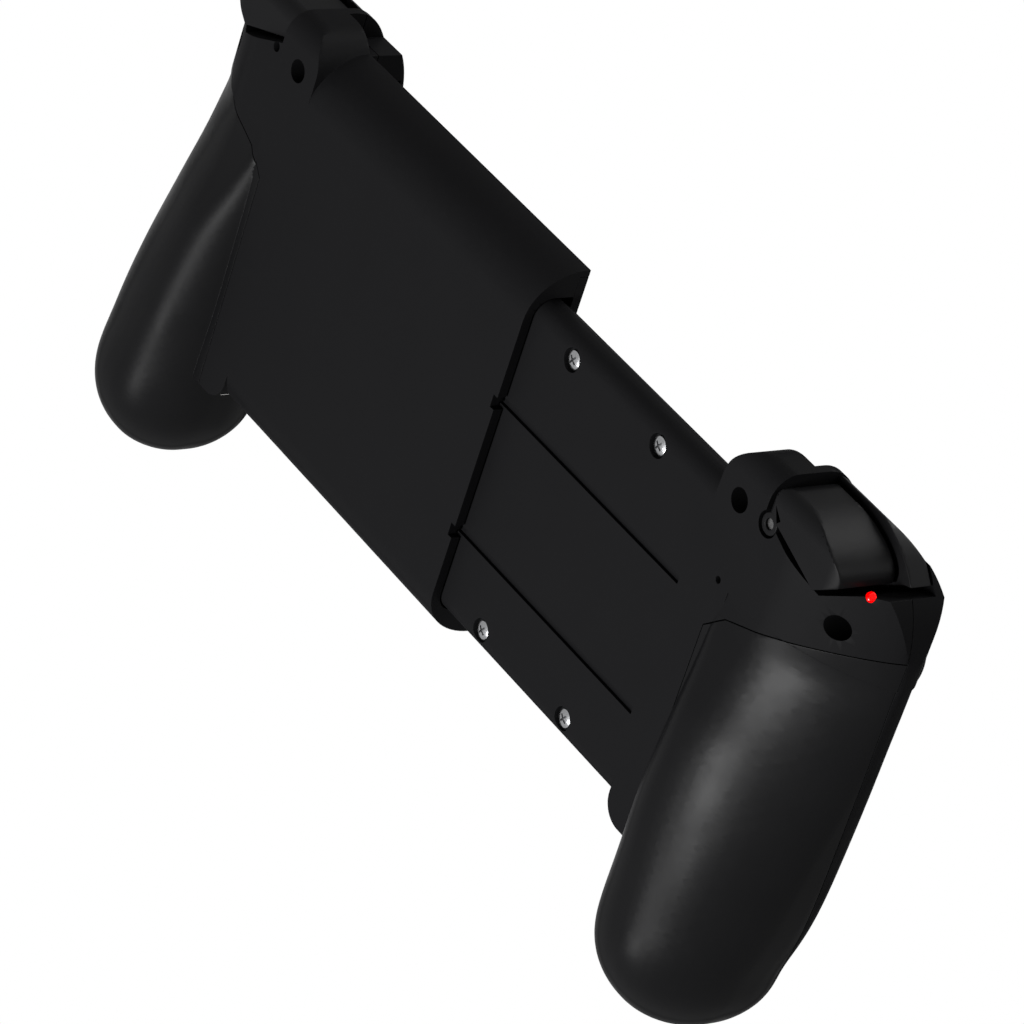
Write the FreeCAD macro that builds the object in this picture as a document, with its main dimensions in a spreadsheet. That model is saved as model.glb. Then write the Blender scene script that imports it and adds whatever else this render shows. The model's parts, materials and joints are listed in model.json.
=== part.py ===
import FreeCAD, Part

import math
import os
import re

# Telescopic game controller that holds a phone between two handles, in millimetres.
# While it is drawn, x = 0 lies midway between the handles, y = 0 on the sleeve's middle and z = 0 on
# the sleeve's back. +X is the user's right hand, +Y the shoulder side and +Z the side with the sticks.
# Right-hand pieces are drawn first and mirrored for the left hand where both are alike. The last
# section sets the whole controller on its rest plane.

SIZES = {
    # both modules
    "half_width": 112.0,
    "module_inner": 68.0,
    "jaw_face": 72.0,
    "shell_wall": 2.0,
    "front_level": 25.0,
    "part_level": 16.3,
    "part_gap": 0.1,
    "top_edge": 43.5,
    "low_edge": -38.0,
    "plan_corner": 23.0,
    "inner_corner": 8.0,
    "low_corner": 5.0,
    "top_front_run": 18.0,
    "top_front_round": 11.0,
    "top_back_round": 5.0,
    "jaw_top": 38.0,
    # handles
    "grip_inner": 76.0,
    "shoulder_line": 18.0,
    "grip_bulge": 9.4,
    "grip_step": 0.2,
    "tip_centre": -46.0,
    "tip_length": 17.0,
    "seam_corner": 9.0,
    "seam_rise": 13.5,
    "seam_outer": 22.5,
    "seam_gap": 0.15,
    # sleeve and tray
    "mouth": -9.0,
    "sleeve_half": 40.0,
    "sleeve_depth": 12.0,
    "sleeve_wall": 2.0,
    "sleeve_round": 10.0,
    "sleeve_round_deep": 11.8,
    "channel_end": 67.0,
    "slide_gap": 0.35,
    "tray_half": 34.0,
    "tray_edge": 3.5,
    "tray_skin": 1.8,
    "tray_engaged": 17.0,
    "cover_inset": 1.4,
    "cover_thick": 1.6,
    "cover_gap": 0.1,
    "groove_high": 12.0,
    "groove_low": -16.3,
    "groove_width": 1.6,
    "groove_depth": 0.8,
    "groove_end": -66.5,
    "rib_gap": 0.3,
    "ribbon_half": 6.0,
    "ribbon_thick": 0.25,
    "notch_width": 2.6,
    "notch_length": 1.3,
    # small screws of the tray
    "tray_screw_out": 29.7,
    "tray_screw_near": -22.1,
    "tray_screw_far": -50.3,
    "screw_recess": 2.3,
    "screw_recess_depth": 1.1,
    "screw_head": 1.75,
    "screw_head_thick": 0.9,
    "screw_shank": 0.95,
    "screw_gap": 0.05,
    "boss_wall": 1.6,
    # case screws
    "case_hole": 2.3,
    "top_screw_depth": 7.5,
    "side_screw_depth": 14.6,
    "case_head_thick": 1.4,
    "hole_top_x": 74.0,
    "hole_top_y": 34.0,
    "hole_side_x": 101.5,
    "hole_side_y": 25.5,
    # triggers and bumpers
    "zone_inner": 80.9,
    "deck_inner": 36.2,
    "deck_low_x": 97.0,
    "deck_low_y": 29.4,
    "deck_out_x": 104.0,
    "deck_out_y": 33.6,
    "deck_end_y": 36.5,
    "zone_front": 21.7,
    "pin_x": 82.4,
    "pin_y": 34.6,
    "pin_radius": 1.0,
    "pin_start": 3.2,
    "pin_fit": 0.04,
    "barrel_radius": 2.1,
    "moving_gap": 0.4,
    "trigger_front": 15.7,
    "trigger_top": 41.8,
    "trigger_turn": 4.5,
    "bumper_back": 16.6,
    "bumper_turn": 3.0,
    "spring_x": 92.0,
    "spring_z": 9.0,
    "spring_radius": 1.7,
    "spring_wire": 0.35,
    "spring_cup_floor": 25.5,
    "seat_gap": 0.3,
    "switch_x": 95.0,
    "switch_y": 26.3,
    "switch_z": 17.6,
    "switch_width": 3.2,
    "switch_height": 3.0,
    "switch_depth": 3.8,
    "switch_fit": 0.1,
    # jaw pad
    "pad_thick": 2.4,
    "pad_low": -30.0,
    "pad_high": 31.0,
    "pad_slot": 1.2,
    "pad_seat": 0.8,
    # circuit boards and sticks
    "board_level": 12.6,
    "board_thick": 1.2,
    "board_inner": 75.1,
    "board_side": 7.0,
    "board_low": -34.8,
    "board_high": 27.2,
    "board_notch_x": 95.0,
    "board_notch_y": 20.0,
    "board_post": 1.8,
    "board_post_out": 12.2,
    "board_post_y": -2.0,
    "board_post_low": -32.6,
    "stick_base_wall": 0.7,
    "stick_base_floor": 0.4,
    "stick_axle": 0.8,
    "axle_root": 0.5,
    "yoke_half": 5.0,
    "yoke_bar": 1.2,
    "post_core": 2.4,
    "post_core_rise": 1.1,
    "post_radius": 1.6,
    "cap_roof": 4.5,
    "cap_thick": 3.4,
    "scoop_radius": 22.0,
    "scoop_depth": 1.3,
    "skirt_radius": 7.4,
    "skirt_low": 4.4,
    "face_lift": 3.0,
    "face_flange": 0.7,
    "face_flange_drop": 1.6,
    "face_flange_thick": 1.0,
    "face_edge": 0.6,
    "small_flange": 0.6,
    "small_flange_thick": 0.8,
    "dpad_lift": 2.6,
    "dpad_gap": 0.5,
    "dpad_dome_out": 7.5,
    "battery_low": -44.0,
    "socket_fit": 0.1,
    "socket_wall": 0.5,
    "tongue_start": 1.4,
    "tongue_half_thick": 0.35,
    "tongue_half_width": 3.3,
    "stick_pivot": 18.5,
    "stick_x": 91.0,
    "stick_high": 12.5,
    "stick_low": -18.5,
    "stick_hole": 8.8,
    "stick_base_half": 8.5,
    "stick_base_gap": 0.7,
    "stick_dish": 9.2,
    "stick_top": 33.6,
    "stick_stem": 4.5,
    "stick_click": 0.5,
    # buttons
    "face_x": 90.0,
    "face_y": 14.5,
    "face_pitch": 8.6,
    "face_radius": 4.3,
    "face_rise": 2.2,
    "button_gap": 0.3,
    "dpad_x": 91.0,
    "dpad_y": -17.0,
    "dpad_reach": 10.8,
    "dpad_arm": 3.6,
    "dpad_rise": 2.6,
    "dpad_post": 2.5,
    "dpad_post_high": 6.0,
    "small_x": 77.4,
    "small_high": 24.5,
    "small_low": -29.0,
    "small_radius": 2.0,
    "small_rise": 0.9,
    # battery, lamp, socket
    "battery_width": 20.0,
    "battery_length": 42.0,
    "battery_thick": 6.0,
    "lamp_radius": 0.9,
    "lamp_x": 104.3,
    "lamp_y": 33.8,
    "lamp_z": 9.6,
    "lamp_length": 4.0,
    "lamp_proud": 0.3,
    "pinhole_x": -75.7,
    "pinhole_y": 18.4,
    "pinhole_radius": 0.7,
    "socket_half_width": 1.65,
    "socket_half_length": 4.5,
    "socket_depth": 7.4,
    "socket_x": 72.4,
    "socket_level": 6.6,
}

os.makedirs("parts", exist_ok=True)
document = FreeCAD.newDocument("game_controller")
sheet = document.addObject("Spreadsheet::Sheet", "Sizes")
for line, (alias, value) in enumerate(SIZES.items(), start=1):
    sheet.set(f"A{line}", alias.replace("_", " "))
    sheet.set(f"B{line}", str(value))
    sheet.setAlias(f"B{line}", alias)
document.recompute()


def size(text):
    """A number worked out from the sheet's cells, for shapes that are drawn directly."""
    cells = {alias: float(sheet.get(alias)) for alias in SIZES if re.search(rf"\b{alias}\b", text)}
    total = 0.0
    for sign, term in re.findall(r"([+-]?)\s*([^+\-\s]+)", text):
        product = 1.0
        for factor in term.split("*"):
            product *= cells[factor] if factor in cells else float(factor)
        total += -product if sign == "-" else product
    return total


def bound(text):
    """The same text as an expression on the sheet."""
    return re.sub(r"[a-z_]+", lambda word: "Sizes." + word.group(0), text)


def vector(*coordinates):
    return FreeCAD.Vector(*coordinates)


def box(name, low, high):
    """A box between two corners, each coordinate an expression on the sheet."""
    thing = document.addObject("Part::Box", name)
    for axis, side, start, end in zip("xyz", ("Length", "Width", "Height"), low, high):
        thing.setExpression(f"Placement.Base.{axis}", bound(start))
        thing.setExpression(side, f"({bound(end)}) - ({bound(start)})")
    return thing


TURNS = {"z": (vector(0, 0, 1), 0), "x": (vector(0, 1, 0), 90), "y": (vector(1, 0, 0), -90)}


def rod(name, start, radius, length, axis="z"):
    """A cylinder from its start point along an axis."""
    thing = document.addObject("Part::Cylinder", name)
    thing.Placement = FreeCAD.Placement(vector(0, 0, 0), FreeCAD.Rotation(*TURNS[axis]))
    for letter, text in zip("xyz", start):
        thing.setExpression(f"Placement.Base.{letter}", bound(text))
    thing.setExpression("Radius", bound(radius))
    thing.setExpression("Height", bound(length))
    return thing


def fuse(name, *things):
    thing = document.addObject("Part::MultiFuse", name)
    thing.Shapes = list(things)
    return thing


def cut(name, base, *tools):
    thing = document.addObject("Part::Cut", name)
    thing.Base = base
    thing.Tool = tools[0] if len(tools) == 1 else fuse(name + "_tools", *tools)
    return thing


def common(name, *things):
    thing = document.addObject("Part::MultiCommon", name)
    thing.Shapes = list(things)
    return thing


def mirrored(name, source):
    """The left-hand twin of a right-hand piece."""
    thing = document.addObject("Part::Mirroring", name)
    thing.Source = source
    thing.Normal = vector(1, 0, 0)
    return thing


def drawn(name, shape):
    thing = document.addObject("Part::Feature", name)
    thing.Shape = shape
    return thing


def rounded_edges(name, base, radius, chosen):
    """Round the edges of a piece for which chosen(edge) holds."""
    document.recompute()
    thing = document.addObject("Part::Fillet", name)
    thing.Base = base
    reach = size(radius)
    edges = [(i, reach, reach) for i, edge in enumerate(base.Shape.Edges, start=1) if chosen(edge)]
    thing.Edges = edges
    return thing


PLANES = {
    "xy": (lambda u, v, w: vector(u, v, w), vector(0, 0, 1)),
    "xz": (lambda u, v, w: vector(u, w, v), vector(0, 1, 0)),
    "yz": (lambda u, v, w: vector(w, u, v), vector(1, 0, 0)),
}
CIRCLE = math.sqrt(0.5)


def ring(points, corners, plane, level):
    """A closed outline. Each corner is (radius along u, radius along v, fullness), or None if sharp.

    Its sides are parallel to u and v, except beside a sharp corner. Fullness is the weight of the
    corner's conic: CIRCLE gives a quarter ellipse and less gives a flatter slope."""
    place = PLANES[plane][0]
    stops = []
    for i, (u, v) in enumerate(points):
        if corners[i] is None:
            stops.append([(u, v)])
            continue
        before = points[i - 1]
        after = points[(i + 1) % len(points)]
        ends = []
        for other in (before, after):
            step_u, step_v = other[0] - u, other[1] - v
            if abs(step_u) > abs(step_v):
                ends.append((u + math.copysign(corners[i][0], step_u), v))
            else:
                ends.append((u, v + math.copysign(corners[i][1], step_v)))
        stops.append([ends[0], (u, v), ends[1]])
    edges = []
    for i, stop in enumerate(stops):
        if len(stop) == 3:
            curve = Part.BezierCurve()
            curve.setPoles([place(*p, level) for p in stop])
            curve.setWeight(2, corners[i][2])
            edges.append(curve.toShape())
        following = stops[(i + 1) % len(stops)][0]
        if math.dist(stop[-1], following) > 1e-6:
            edges.append(Part.LineSegment(place(*stop[-1], level), place(*following, level)).toShape())
    return Part.Wire(edges)


def prism(points, corners, plane, low, high):
    face = Part.Face(ring(points, corners, plane, low))
    return face.extrude(PLANES[plane][1] * (high - low))


# The outer form of a module, and the same form drawn inwards by a wall.

# Key sections of the handle, from the shoulder to the middle of its rounded tip. Each row holds: the
# share of the way down, how far the inner and outer sides move in, the share of the full bulge, how
# far the front drops, and the corners in the order back inner, back outer, front outer, front inner.
HANDLE = [
    (0.00, 0.0, 0.0, 0.00, 0.0, (3, 3, 0.70), (24, 17.3, 0.28), (11, 7, 0.68), (4, 4, 0.70)),
    (0.18, 0.0, 0.0, 0.21, 0.0, (6, 6, 0.65), (25, 19, 0.36), (11, 7.3, 0.68), (5, 5, 0.70)),
    (0.38, 0.0, 0.0, 0.58, 0.0, (10, 11, 0.62), (25, 21, 0.44), (10.5, 8, 0.70), (6, 6, 0.70)),
    (0.60, 0.0, 0.0, 0.81, 0.1, (12, 14, 0.62), (23, 20, 0.51), (10.5, 9, 0.70), (9, 8, 0.70)),
    (0.82, 0.4, 0.3, 0.93, 0.4, (14, 16, 0.63), (20, 19, 0.59), (11, 10.5, 0.70), (12, 12, 0.70)),
    (1.00, 1.4, 1.4, 1.00, 1.0, (15, 15.5, 0.66), (17, 17.5, 0.63), (13, 13, 0.70), (14, 14.5, 0.70)),
]


def blended(rows, share):
    """Every number of the rows at one share of the way, on a smooth curve through the rows."""
    flat = [[row[0], *row[1:5], *(n for corner in row[5:] for n in corner)] for row in rows]
    i = max(k for k in range(len(flat) - 1) if flat[k][0] <= share or k == 0)
    start, end = flat[i], flat[i + 1]
    width = end[0] - start[0]
    t = (share - start[0]) / width

    def slope(k, n):
        low, here, high = flat[max(k - 1, 0)], flat[k], flat[min(k + 1, len(flat) - 1)]
        if k == 0 or (here[n] - low[n]) * (high[n] - here[n]) < 0 or here[n] == low[n]:
            return 0.0
        return (high[n] - low[n]) / (high[0] - low[0]) * width

    result = []
    for n in range(1, len(start)):
        p, q, m, l = start[n], end[n], slope(i, n), slope(i + 1, n)
        result.append(p + m * t + (3 * (q - p) - 2 * m - l) * t**2 + (2 * (p - q) + m + l) * t**3)
    return result[:4], [tuple(result[k:k + 3]) for k in (4, 7, 10, 13)]


def handle_section(share, wall, back):
    """Sides, levels and corners of the handle at one share of the way down."""
    (moved_in, moved_out, bulge, dropped), corners = blended(HANDLE, share)
    sunk = back * (1 - bulge)
    (outer_run, outer_depth, outer_fullness) = corners[1]
    corners[1] = (outer_run, outer_depth - sunk, outer_fullness)
    sides = (size("grip_inner") + moved_in + wall, size("half_width - grip_step") - moved_out - wall)
    levels = (size("grip_step") + sunk - size("grip_bulge") * bulge + wall,
              size("front_level - grip_step") - dropped - wall)
    drawn_in = [(max(u - wall, 0.8), max(v - wall, 0.8), fullness) for u, v, fullness in corners]
    return sides, levels, drawn_in


HANDLE_STEPS = 9
TIP_TURNS = (17, 34, 50, 64, 76, 87)


def handle_rings(wall, back):
    """Rings from the shoulder to the end of the rounded tip: distance on the way, y and section."""
    start = size("shoulder_line")
    span = start - size("tip_centre")
    reach = size("tip_length") - wall
    rings = []
    for k in range(HANDLE_STEPS + 1):
        share = k / HANDLE_STEPS
        sides, levels, corners = handle_section(share, wall, back)
        rings.append((share * span, start - share * span, sides, levels, corners))
    middle = (sum(sides) / 2, sum(levels) / 2)
    for turn in TIP_TURNS:
        angle = math.radians(turn)
        share = math.cos(angle)
        small_sides = [middle[0] + (side - middle[0]) * share for side in sides]
        small_levels = [middle[1] + (level - middle[1]) * share for level in levels]
        small = [(u * share, v * share, fullness) for u, v, fullness in corners]
        rings.append((span + reach * angle, start - span - reach * math.sin(angle),
                      small_sides, small_levels, small))
    return rings


def ring_poles(y, sides, levels, corners):
    """The three poles of each corner, in order round the handle."""
    (x_in, x_out), (back, front) = sides, levels
    places = ((x_in, back), (x_out, back), (x_out, front), (x_in, front))
    inward = (((0, 1), (1, 0)), ((-1, 0), (0, 1)), ((0, -1), (-1, 0)), ((1, 0), (0, -1)))
    return [[vector(x + start[0] * u, y, z + start[1] * v), vector(x, y, z),
             vector(x + end[0] * u, y, z + end[1] * v)]
            for (x, z), (u, v, fullness), (start, end) in zip(places, corners, inward)]


def smooth_row(points, distances, start_way):
    """A smooth curve through points at given distances, which sets out in a given direction."""
    curve = Part.BSplineCurve()
    end_way = (points[-1] - points[-2]) * (1 / (distances[-1] - distances[-2]))
    curve.interpolate(Points=points, Parameters=distances, InitialTangent=start_way, FinalTangent=end_way)
    return curve


def smooth_face(rows, weights, distances):
    """A smooth face through rows of weighted poles, one row for each ring."""
    columns, shares = [], []
    for j in range(len(rows[0])):
        heavy = smooth_row([row[j] * weight[j] for row, weight in zip(rows, weights)], distances,
                           vector(0, -weights[0][j], 0))
        light = smooth_row([vector(weight[j], distance, 0) for weight, distance in zip(weights, distances)],
                           distances, vector(0, 1, 0))
        shares.append([pole.x for pole in light.getPoles()])
        columns.append([pole * (1 / share) for pole, share in zip(heavy.getPoles(), shares[-1])])
    across = len(columns) - 1
    surface = Part.BSplineSurface()
    surface.buildFromPolesMultsKnots(columns, [across + 1] * 2, heavy.getMultiplicities(), [0.0, 1.0],
                                     heavy.getKnots(), False, False, across, heavy.Degree, shares)
    return surface.toShape()


def flat_end(y, sides, levels, corners):
    (x_in, x_out), (back, front) = sides, levels
    return Part.Face(ring([(x_in, back), (x_out, back), (x_out, front), (x_in, front)], corners, "xz", y))


def grip_form(wall, back):
    rings = handle_rings(wall, back)
    distances = [ring_data[0] for ring_data in rings]
    poles = [ring_poles(*ring_data[1:]) for ring_data in rings]
    faces = []
    for corner in range(4):
        fullness = [[1.0, ring_data[4][corner][2], 1.0] for ring_data in rings]
        faces.append(smooth_face([row[corner] for row in poles], fullness, distances))
        after = (corner + 1) % 4
        sides = [[row[corner][2], row[after][0]] for row in poles]
        faces.append(smooth_face(sides, [[1.0, 1.0]] * len(poles), distances))
    faces += [flat_end(*rings[0][1:]), flat_end(*rings[-1][1:])]
    skins = Part.Compound(faces)
    skins.sewShape()
    return Part.Solid(Part.Shell(skins.Faces))


def shoulder_form(wall, back):
    """The block above the handle: plan, end view and side view taken together."""
    inner = size("module_inner") + wall
    outer = size("half_width") - wall
    front = size("front_level") - wall
    top = size("top_edge") - wall
    low = size("shoulder_line")
    first = handle_section(0.0, wall, back)[2]
    plan_round = size("plan_corner") - wall
    inner_round = size("inner_corner") - wall
    plan = prism([(inner, low), (outer, low), (outer, top), (inner, top)],
                 [None, None, (plan_round, plan_round, CIRCLE), (inner_round, inner_round, CIRCLE)],
                 "xy", back + wall, front)
    end_view = prism([(inner, back + wall), (outer, back + wall), (outer, front), (inner, front)],
                     [None, first[1], first[2], None],
                     "xz", low, top)
    front_run = size("top_front_run") - wall
    round_front = size("top_front_round") - wall
    round_back = size("top_back_round") - wall
    side_view = prism([(low, back + wall), (top, back + wall), (top, front), (low, front)],
                      [None, (round_back, round_back, CIRCLE), (front_run, round_front, CIRCLE), None],
                      "yz", inner, outer)
    return plan.common(end_view).common(side_view)


def web_form(wall, back):
    """The flat part between the sleeve and the handle."""
    inner = size("module_inner") + wall
    low = size("low_edge") + wall
    join = size("shoulder_line")
    corner = size("low_corner") - wall
    level = size("part_level")
    reach = size("grip_inner")
    rear = prism([(inner, low), (reach + 3, low), (reach + 3, join), (inner, join)],
                 [(corner, corner, CIRCLE), None, None, None], "xy", back + wall, level)
    fore = prism([(inner, low), (reach + 9, low), (reach + 9, join), (inner, join)],
                 [(corner, corner, CIRCLE), None, None, None], "xy", level, size("front_level") - wall)
    return rear.fuse(fore)


def jaw_space(wall):
    """What is taken off above the phone bed, beside the jaw and over the jaw's end."""
    bed = size("sleeve_depth") - wall
    jaw = size("jaw_face") + wall
    end = size("jaw_top") - wall
    side = size("zone_inner") - size("shell_wall")
    far = 80.0
    beside = prism([(0, -far), (jaw, -far), (jaw, far), (0, far)], [None] * 4, "xy", bed, far)
    over = prism([(0, end), (side, end), (side, far), (0, far)], [None] * 4, "xy", bed, far)
    return beside.fuse(over)


def module_form(wall, back):
    """Shoulder, handle and web in one, with the phone's room taken off."""
    form = shoulder_form(wall, back).fuse([grip_form(wall, back), web_form(wall, back)])
    return form.cut(jaw_space(wall)).removeSplitter()


def deck_space(grown, low, high):
    """The room of trigger and bumper above the deck, grown on its inner side and its floor."""
    far = 70.0
    points = [
        (size("zone_inner") - grown, far),
        (size("zone_inner") - grown, size("deck_inner") - grown),
        (size("deck_low_x"), size("deck_low_y") - grown),
        (size("deck_out_x"), size("deck_out_y") - grown),
        (size("half_width") + 3, size("deck_end_y") - grown),
        (size("half_width") + 3, far),
    ]
    return prism(points, [None] * 6, "xy", low, high)


def seam_space(grown):
    """Everything on the handle's side of the seam between soft cover and housing."""
    far = 150.0
    inner = size("grip_inner") - grown
    points = [
        (inner, -far),
        (far, -far),
        (far, size("seam_outer") + 14 + grown),
        (inner + 5, size("seam_rise") + grown),
        (inner, size("seam_corner") + grown),
    ]
    return prism(points, [None] * 5, "xy", -far, size("part_level"))


SIDES = {"right": 0.0, "left": size("sleeve_wall + slide_gap")}
LAMP_WAY = (-0.30, 0.72, -0.62)
WALL = size("shell_wall")
FAR = 200.0

outer_forms = {side: drawn(f"{side}_outer_form", module_form(0.0, back)) for side, back in SIDES.items()}
inner_forms = {side: drawn(f"{side}_inner_form", module_form(WALL, back)) for side, back in SIDES.items()}
room = drawn("shoulder_room", deck_space(0.0, -FAR, size("zone_front")))
room_wall = drawn("shoulder_room_wall", deck_space(WALL, -FAR, size("zone_front + shell_wall")))
below_part = drawn("below_part_line", prism([(-FAR, -FAR), (FAR, -FAR), (FAR, FAR), (-FAR, FAR)],
                                            [None] * 4, "xy", -FAR, size("part_level")))
above_part = drawn("above_part_line", prism([(-FAR, -FAR), (FAR, -FAR), (FAR, FAR), (-FAR, FAR)],
                                            [None] * 4, "xy", size("part_level + part_gap"), FAR))
seam_inside = drawn("seam_inside", seam_space(0.0))
seam_outside = drawn("seam_outside", seam_space(size("seam_gap")))


# Shoulder pin, and the room that its barrels turn in.

pocket = rod("barrel_pocket", ("pin_x", "pin_y", "shell_wall + 0.3"),
             "barrel_radius + moving_gap", "zone_front - shell_wall - 0.3")
pocket_wall = rod("barrel_pocket_wall", ("pin_x", "pin_y", "0.5"),
                  "barrel_radius + moving_gap + boss_wall", "zone_front + 1")
pin_hole = rod("pin_hole", ("pin_x", "pin_y", "-1"), "pin_radius + pin_fit", "front_level - 1.5")
shoulder_pin = rod("shoulder_pin", ("pin_x", "pin_y", "pin_start"), "pin_radius",
                   "front_level - 2.7 - pin_start")

# The spring's cup in the deck under the trigger.

spring_cup = rod("spring_cup", ("spring_x", "spring_cup_floor", "spring_z"),
                 "spring_radius + spring_wire + moving_gap", "14", "y")
spring_cup_wall = rod("spring_cup_wall", ("spring_x", "spring_cup_floor - 1.2", "spring_z"),
                      "spring_radius + spring_wire + moving_gap + 1.2", "7.5", "y")

# Case screws: a deep hole from behind, a ledge, and a pilot hole in the front housing.

case_places = (("top", "hole_top_x", "hole_top_y", "0"), ("side", "hole_side_x", "hole_side_y", "4"))
case_wells = []
case_ledges = []
case_tubes = []
case_pilots = []
case_posts = []
case_screw_parts = []
for place, x, y, skin in case_places:
    depth = f"{place}_screw_depth"
    case_wells.append(rod(f"{place}_well", (x, y, "-3"), "case_hole", depth + " + 3"))
    case_ledges.append(rod(f"{place}_ledge", (x, y, "0"), "screw_shank + screw_gap", "part_level"))
    case_tubes.append(rod(f"{place}_tube", (x, y, f"shell_wall + {skin}"), "case_hole + boss_wall",
                          f"part_level - shell_wall - {skin}"))
    case_pilots.append(rod(f"{place}_pilot", (x, y, "part_level"), "screw_shank + screw_gap", "6"))
    case_posts.append(rod(f"{place}_post", (x, y, "part_level + part_gap"), "screw_shank + boss_wall",
                          "front_level - part_level - part_gap - 1"))
    case_screw_parts.append(rod(f"{place}_screw_head", (x, y, depth + " - case_head_thick"),
                                "case_hole - 0.2", "case_head_thick"))
    case_screw_parts.append(rod(f"{place}_screw_shank", (x, y, depth + " - 0.1"), "screw_shank",
                                f"part_level - {depth} + 5"))

# Posts that hold the circuit board against the front housing.

post_places = (("stick_x - board_post_out", "board_post_y"), ("stick_x + board_post_out", "board_post_y"),
               ("stick_x - 3", "board_post_low"))
board_posts = [rod(f"board_post_{i}", (x, y, "board_level + board_thick"), "board_post",
                   "front_level - board_level - board_thick - 1") for i, (x, y) in enumerate(post_places)]

# Switch behind the bumper, in its own gate through the deck.

switch_gate = box("switch_gate", ("switch_x - switch_fit", "switch_y - switch_fit", "switch_z - switch_fit"),
                  ("switch_x + switch_width + switch_fit", "switch_y + switch_height + 3",
                   "switch_z + switch_depth + switch_fit"))
bumper_switch = box("bumper_switch_body", ("switch_x", "switch_y", "switch_z"),
                    ("switch_x + switch_width", "switch_y + switch_height", "switch_z + switch_depth"))

# What fills the walls out inside each module, kept inside the module's own outer form.

fill = fuse("wall_fill", room_wall, pocket_wall, spring_cup_wall, *case_tubes)
front_fill = fuse("front_wall_fill", room_wall, pocket_wall, *case_posts)


def rear_shell(side):
    hollow = cut(f"{side}_rear_hollow", inner_forms[side], fill)
    shell = cut(f"{side}_rear_shell", outer_forms[side], hollow)
    lower = common(f"{side}_rear_lower", shell, below_part)
    return cut(f"{side}_rear_open", lower, seam_outside, room, pocket, pin_hole, spring_cup,
               *case_wells, *case_ledges)


def front_shell(side):
    hollow = cut(f"{side}_front_hollow", inner_forms[side], front_fill)
    shell = cut(f"{side}_front_shell", outer_forms[side], hollow)
    upper = common(f"{side}_front_upper", shell, above_part)
    opened = cut(f"{side}_front_open", upper, room, pocket, pin_hole, switch_gate, *case_pilots, pad_cut)
    return fuse(f"{side}_front_with_posts", opened, *board_posts)


def grip_cover(name, side):
    shell = cut(f"{name}_shell", outer_forms[side], inner_forms[side])
    return common(name, shell, seam_inside)


# The pad's seat in the jaw, with a narrow open slot past its upper end.

pad_low_level = "part_level + part_gap + 0.4"
pad_cut = box("pad_seat_cut", ("jaw_face - 1", "pad_low", pad_low_level),
              ("jaw_face + pad_seat", "pad_high + pad_slot", "front_level - 1.5"))
jaw_pad_block = box("jaw_pad_block", ("jaw_face - pad_thick + pad_seat", "pad_low", pad_low_level),
                    ("jaw_face + pad_seat", "pad_high", "front_level - 1.5"))

# Right module's rear housing in one piece with the sleeve.

deep = size("sleeve_depth")
half = size("sleeve_half")
sleeve_corner = (size("sleeve_round"), size("sleeve_round_deep"), CIRCLE)
sleeve_block = drawn("sleeve_block", prism([(-half, 0), (half, 0), (half, deep), (-half, deep)],
                                           [sleeve_corner, sleeve_corner, None, None],
                                           "yz", size("mouth"), size("module_inner + 3")))
channel_half = size("tray_half + slide_gap")
channel_round = size("tray_edge + slide_gap")
channel_corner = (channel_round, channel_round, CIRCLE)
channel = drawn("channel", prism([(-channel_half, size("sleeve_wall")), (channel_half, size("sleeve_wall")),
                                  (channel_half, deep), (-channel_half, deep)],
                                 [channel_corner, channel_corner, None, None],
                                 "yz", size("mouth - 1"), size("channel_end")))
bed_seat = box("bed_seat", ("mouth - 1", "-sleeve_half + cover_inset", "sleeve_depth - sleeve_wall"),
               ("jaw_face", "sleeve_half - cover_inset", "sleeve_depth + 1"))
ribs = []
notches = []
for word in ("high", "low"):
    ribs.append(box(f"rib_{word}", ("mouth + notch_length", f"groove_{word} - 0.5*groove_width + rib_gap",
                                    "sleeve_wall - 0.5"),
                    ("channel_end + 0.5", f"groove_{word} + 0.5*groove_width - rib_gap",
                     "sleeve_wall + slide_gap + groove_depth - rib_gap")))
    notches.append(box(f"notch_{word}", ("mouth - 1", f"groove_{word} - 0.5*notch_width", "-1"),
                       ("mouth + notch_length", f"groove_{word} + 0.5*notch_width", "sleeve_wall + 1")))
ribbon_gate = box("ribbon_gate", ("channel_end - 1", "-ribbon_half - seat_gap", "sleeve_wall"),
                  ("module_inner + 4", "ribbon_half + seat_gap", "sleeve_wall + 2"))
socket_gate = box("socket_gate",
                  ("socket_x - socket_half_width", "low_edge - 1", "socket_level - socket_half_length"),
                  ("socket_x + socket_half_width", "low_edge + socket_depth",
                   "socket_level + socket_half_length"))
right_rear = rear_shell("right")
sleeve_solid = fuse("sleeve_solid", sleeve_block, right_rear)
sleeve_open = cut("sleeve_open", sleeve_solid, channel, bed_seat, ribbon_gate, socket_gate, *notches)
sleeve_open.Refine = False
sleeve_housing = fuse("sleeve_housing", sleeve_open, *ribs)
sleeve_housing.Refine = False

bed_plate_block = box("bed_plate_block",
                      ("mouth", "-sleeve_half + cover_inset + cover_gap", "sleeve_depth - sleeve_wall"),
                      ("jaw_face - cover_gap", "sleeve_half - cover_inset - cover_gap", "sleeve_depth"))
sleeve_bed_plate = cut("sleeve_bed_plate", bed_plate_block, socket_gate)

# Left module's rear housing in one piece with the tray.

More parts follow.
